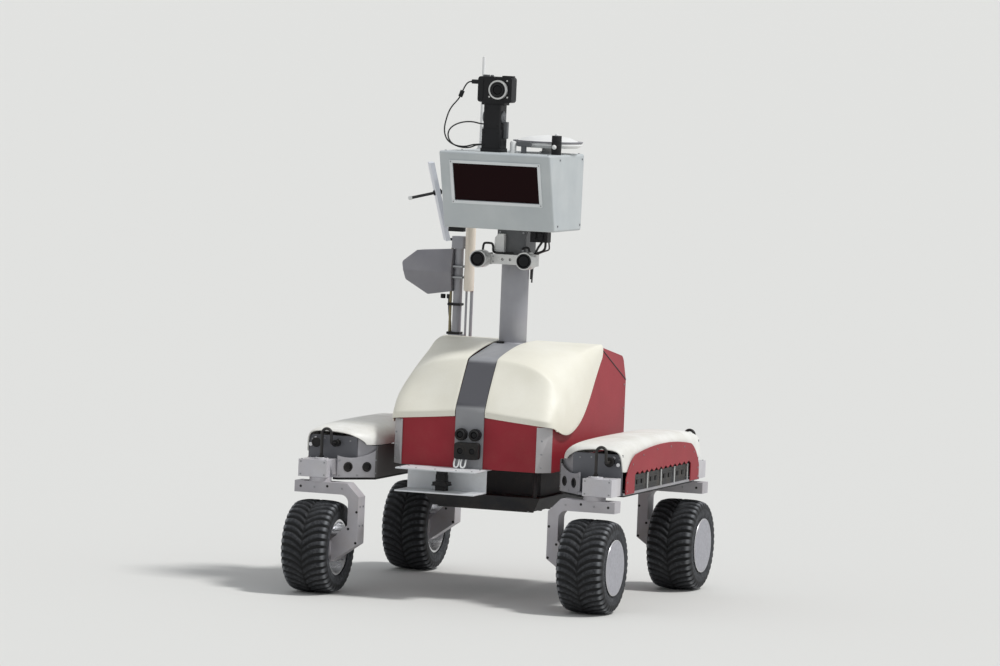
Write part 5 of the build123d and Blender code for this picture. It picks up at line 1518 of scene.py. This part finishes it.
print("knobs and screws on the camera:", len(dials) + len(shutter))


# %% [markdown]
# ## Aerials behind the mast
# A cream tube aerial stands beside the mast on two thin rods. The panel aerial hangs from its rod
# by a nut on each face. That rod is tilted in two directions, so its fittings are placed along
# its own line, worked out once from the panel's place and direction.

# %% Aerial fittings
tube_x, tube_y, deck_foot = -168, 116, 643
tube_profile = [(11, 812), (14.5, 814), (14.5, 866), (14, 868), (14, 1004), (11, 1010), (3, 1013)]
make_piece("tube_aerial", [turned(tube_profile, (tube_x, tube_y, 0), steps=32)], cream_tube,
           "chassis")
rod_line = Vector(panel_across)
rod_middle = panel_place + panel_up * 25
rod_tip = [turned([(5.2, 0), (5.2, 9), (4.2, 10.5)], rod_middle - rod_line * 71, -rod_line, 20)]
make_piece("panel_rod_tip", rod_tip, white_radome, "chassis")
rod_nuts = [turned([(9, 0), (9, 5), (7, 6)], rod_middle + rod_line * 6, rod_line, 6),
            turned([(8, 0), (8, 4), (6, 5)], rod_middle - rod_line * 6, -rod_line, 6)]
make_piece("panel_rod_nuts", rod_nuts, black_abs, "chassis")
thin_rod, thick_rod = (tube_x - 6, tube_y), (tube_x + 8, tube_y + 4)
rods = [pipe([(*thin_rod, deck_foot), (*thin_rod, 812)], 3.2),
        pipe([(*thick_rod, deck_foot), (*thick_rod, 815)], 4.5)]
make_piece("tube_aerial_stand", rods, mast_paint, "chassis")
rod_feet = [drum(9, 6, (*thin_rod, deck_foot)), drum(10, 6, (*thick_rod, deck_foot))]
make_piece("tube_aerial_feet", rod_feet, zinc_steel, "chassis", 0.4)
print("aerial rods:", len(rods))


# %% [markdown]
# ## Pole and radio
# The radio hangs on the grey pole in a clamp of two bands. Its housing has ridges behind and two
# cable glands below, and a tan rod and the radio's cable are tied to the pole with black ties.

# %% Pole and radio fittings
side_rod = [pipe([(-222, 121, 930), (-222, 121, 660)], 3.6)]
make_piece("pole_side_rod", side_rod, tan_rod, "chassis")
ties = [slab((-227, 108, z), (-189, 140, z + 7)) for z in (690, 770, 950)]
make_piece("pole_ties", ties, black_abs, "chassis", 1.5)
foot_profile = [(26, 0), (26, 6), (24, 8), (15, 8), (12.6, 12)]
make_piece("pole_foot", [turned(foot_profile, (-203, 125, deck_foot), steps=36)], mast_paint,
           "chassis")
radio_ribs = [slab((-268 + 13 * k, 156, 818), (-264 + 13 * k, 163, 907)) for k in range(4)]
make_piece("radio_rear_ribs", radio_ribs, radio_shell, "chassis", 0.8)
radio_glands = [drum(7, 12, (x, 125, 800), BELOW, 24, 1.5) for x in (-246, -228)]
make_piece("radio_glands", radio_glands, black_abs, "chassis")
radio_clamp = [slab((-226, 104, z), (-184, 146, z + 6)) for z in (846, 876)]
make_piece("radio_clamp", radio_clamp, zinc_steel, "chassis", 1.0)
radio_route = [(-228, 125, 790), (-228, 125, 776), (-226, 126, 744), (-222, 128, 720),
               (-221, 128, 690), (-218, 130, 662)]
fixed_wire("radio_cable", radio_route, 3.0, cable_jacket)
print("ties on the pole:", len(ties))


# %% [markdown]
# ## Belly
# Nobody looks at the underside much, but a low view does: ribs across the tray, screws round its
# edge and a drain plug make it a made thing.

# %% Belly fittings
belly_face = 240
ribs = [slab((-140, y - 4, 235), (140, y + 4, 240.5)) for y in (-150, -80, -10, 60, 130, 200)]
make_piece("belly_ribs", ribs, dark_primer, "chassis", 1.5)
belly_screws = screws([(x, y, belly_face) for x in (-132, 132)
                       for y in (-172, -115, -45, 25, 95, 165, 232)], BELOW, 3.2, 2)
drain_plug = screws([(0, 236, belly_face)], BELOW, 8, 3)
make_piece("belly_screws", belly_screws + drain_plug, zinc_steel, "chassis")
print("belly screws:", len(belly_screws))


# %% [markdown]
# ## Floor
# The rover stands on a plain pale floor that takes its shadow. It is one huge square, because a
# small one would show an edge in front of the horizon.

# %% Floor
# Half of the floor's side in metres, far enough to reach the horizon
floor_half = 3000
floor_corners = [(-floor_half, -floor_half, 0), (floor_half, -floor_half, 0),
                 (floor_half, floor_half, 0), (-floor_half, floor_half, 0)]
floor_mesh = bpy.data.meshes.new("floor")
floor_mesh.from_pydata(floor_corners, [], [(0, 1, 2, 3)])
floor = bpy.data.objects.new("floor", floor_mesh)
bpy.context.scene.collection.objects.link(floor)
floor_material, _, floor_shader = empty_material("pale_floor")
floor_shader.inputs["Base Color"].default_value = hex_colour("#D9D8D4")
floor_shader.inputs["Roughness"].default_value = 0.9
floor_mesh.materials.append(floor_material)
print("floor of", 2 * floor_half, "m square")


# %% [markdown]
# ## Light and background
# One soft sun from high on the right gives the form its direction, as on the day of the
# photograph, and the world gives an even sky light from all around. The pale background is a
# second sky that only the camera and reflections see, so that it can be paler than the light.

# %% Sun and sky
sun_strength, sun_softness = 2.15, radians(9)
sun_azimuth, sun_height = radians(95), radians(58)
sky_strength, backdrop_strength = 0.57, 0.9
sun = bpy.data.objects.new("sun", bpy.data.lights.new("sun", "SUN"))
bpy.context.scene.collection.objects.link(sun)
sun.data.energy = sun_strength
sun.data.angle = sun_softness
sun_from = Vector((sin(sun_azimuth) * cos(sun_height), -cos(sun_azimuth) * cos(sun_height),
                   sin(sun_height)))
sun.rotation_euler = sun_from.to_track_quat("Z", "Y").to_euler()

world = bpy.data.worlds.new("studio")
bpy.context.scene.world = world
world.use_nodes = True
sky = world.node_tree
sky.nodes.clear()
ray = add_node(sky, "ShaderNodeLightPath")
seen = add_node(sky, "ShaderNodeMath", {"operation": "MAXIMUM"},
                _0=ray.outputs["Is Camera Ray"], _1=ray.outputs["Is Glossy Ray"])
seen_too = add_node(sky, "ShaderNodeMath", {"operation": "MAXIMUM"}, _0=seen.outputs[0],
                    _1=ray.outputs["Is Transmission Ray"])
lighting = add_node(sky, "ShaderNodeBackground", Color=hex_colour("#EDF1F6"), Strength=sky_strength)
backdrop = add_node(sky, "ShaderNodeBackground", Color=hex_colour("#EDEEEE"),
                    Strength=backdrop_strength)
mix = add_node(sky, "ShaderNodeMixShader", _0=seen_too.outputs[0], _1=lighting.outputs[0],
               _2=backdrop.outputs[0])
add_node(sky, "ShaderNodeOutputWorld", Surface=mix.outputs[0])
bpy.context.scene.view_settings.view_transform = "Standard"
print("the sun stands at", round(degrees(sun_height)), "degrees")
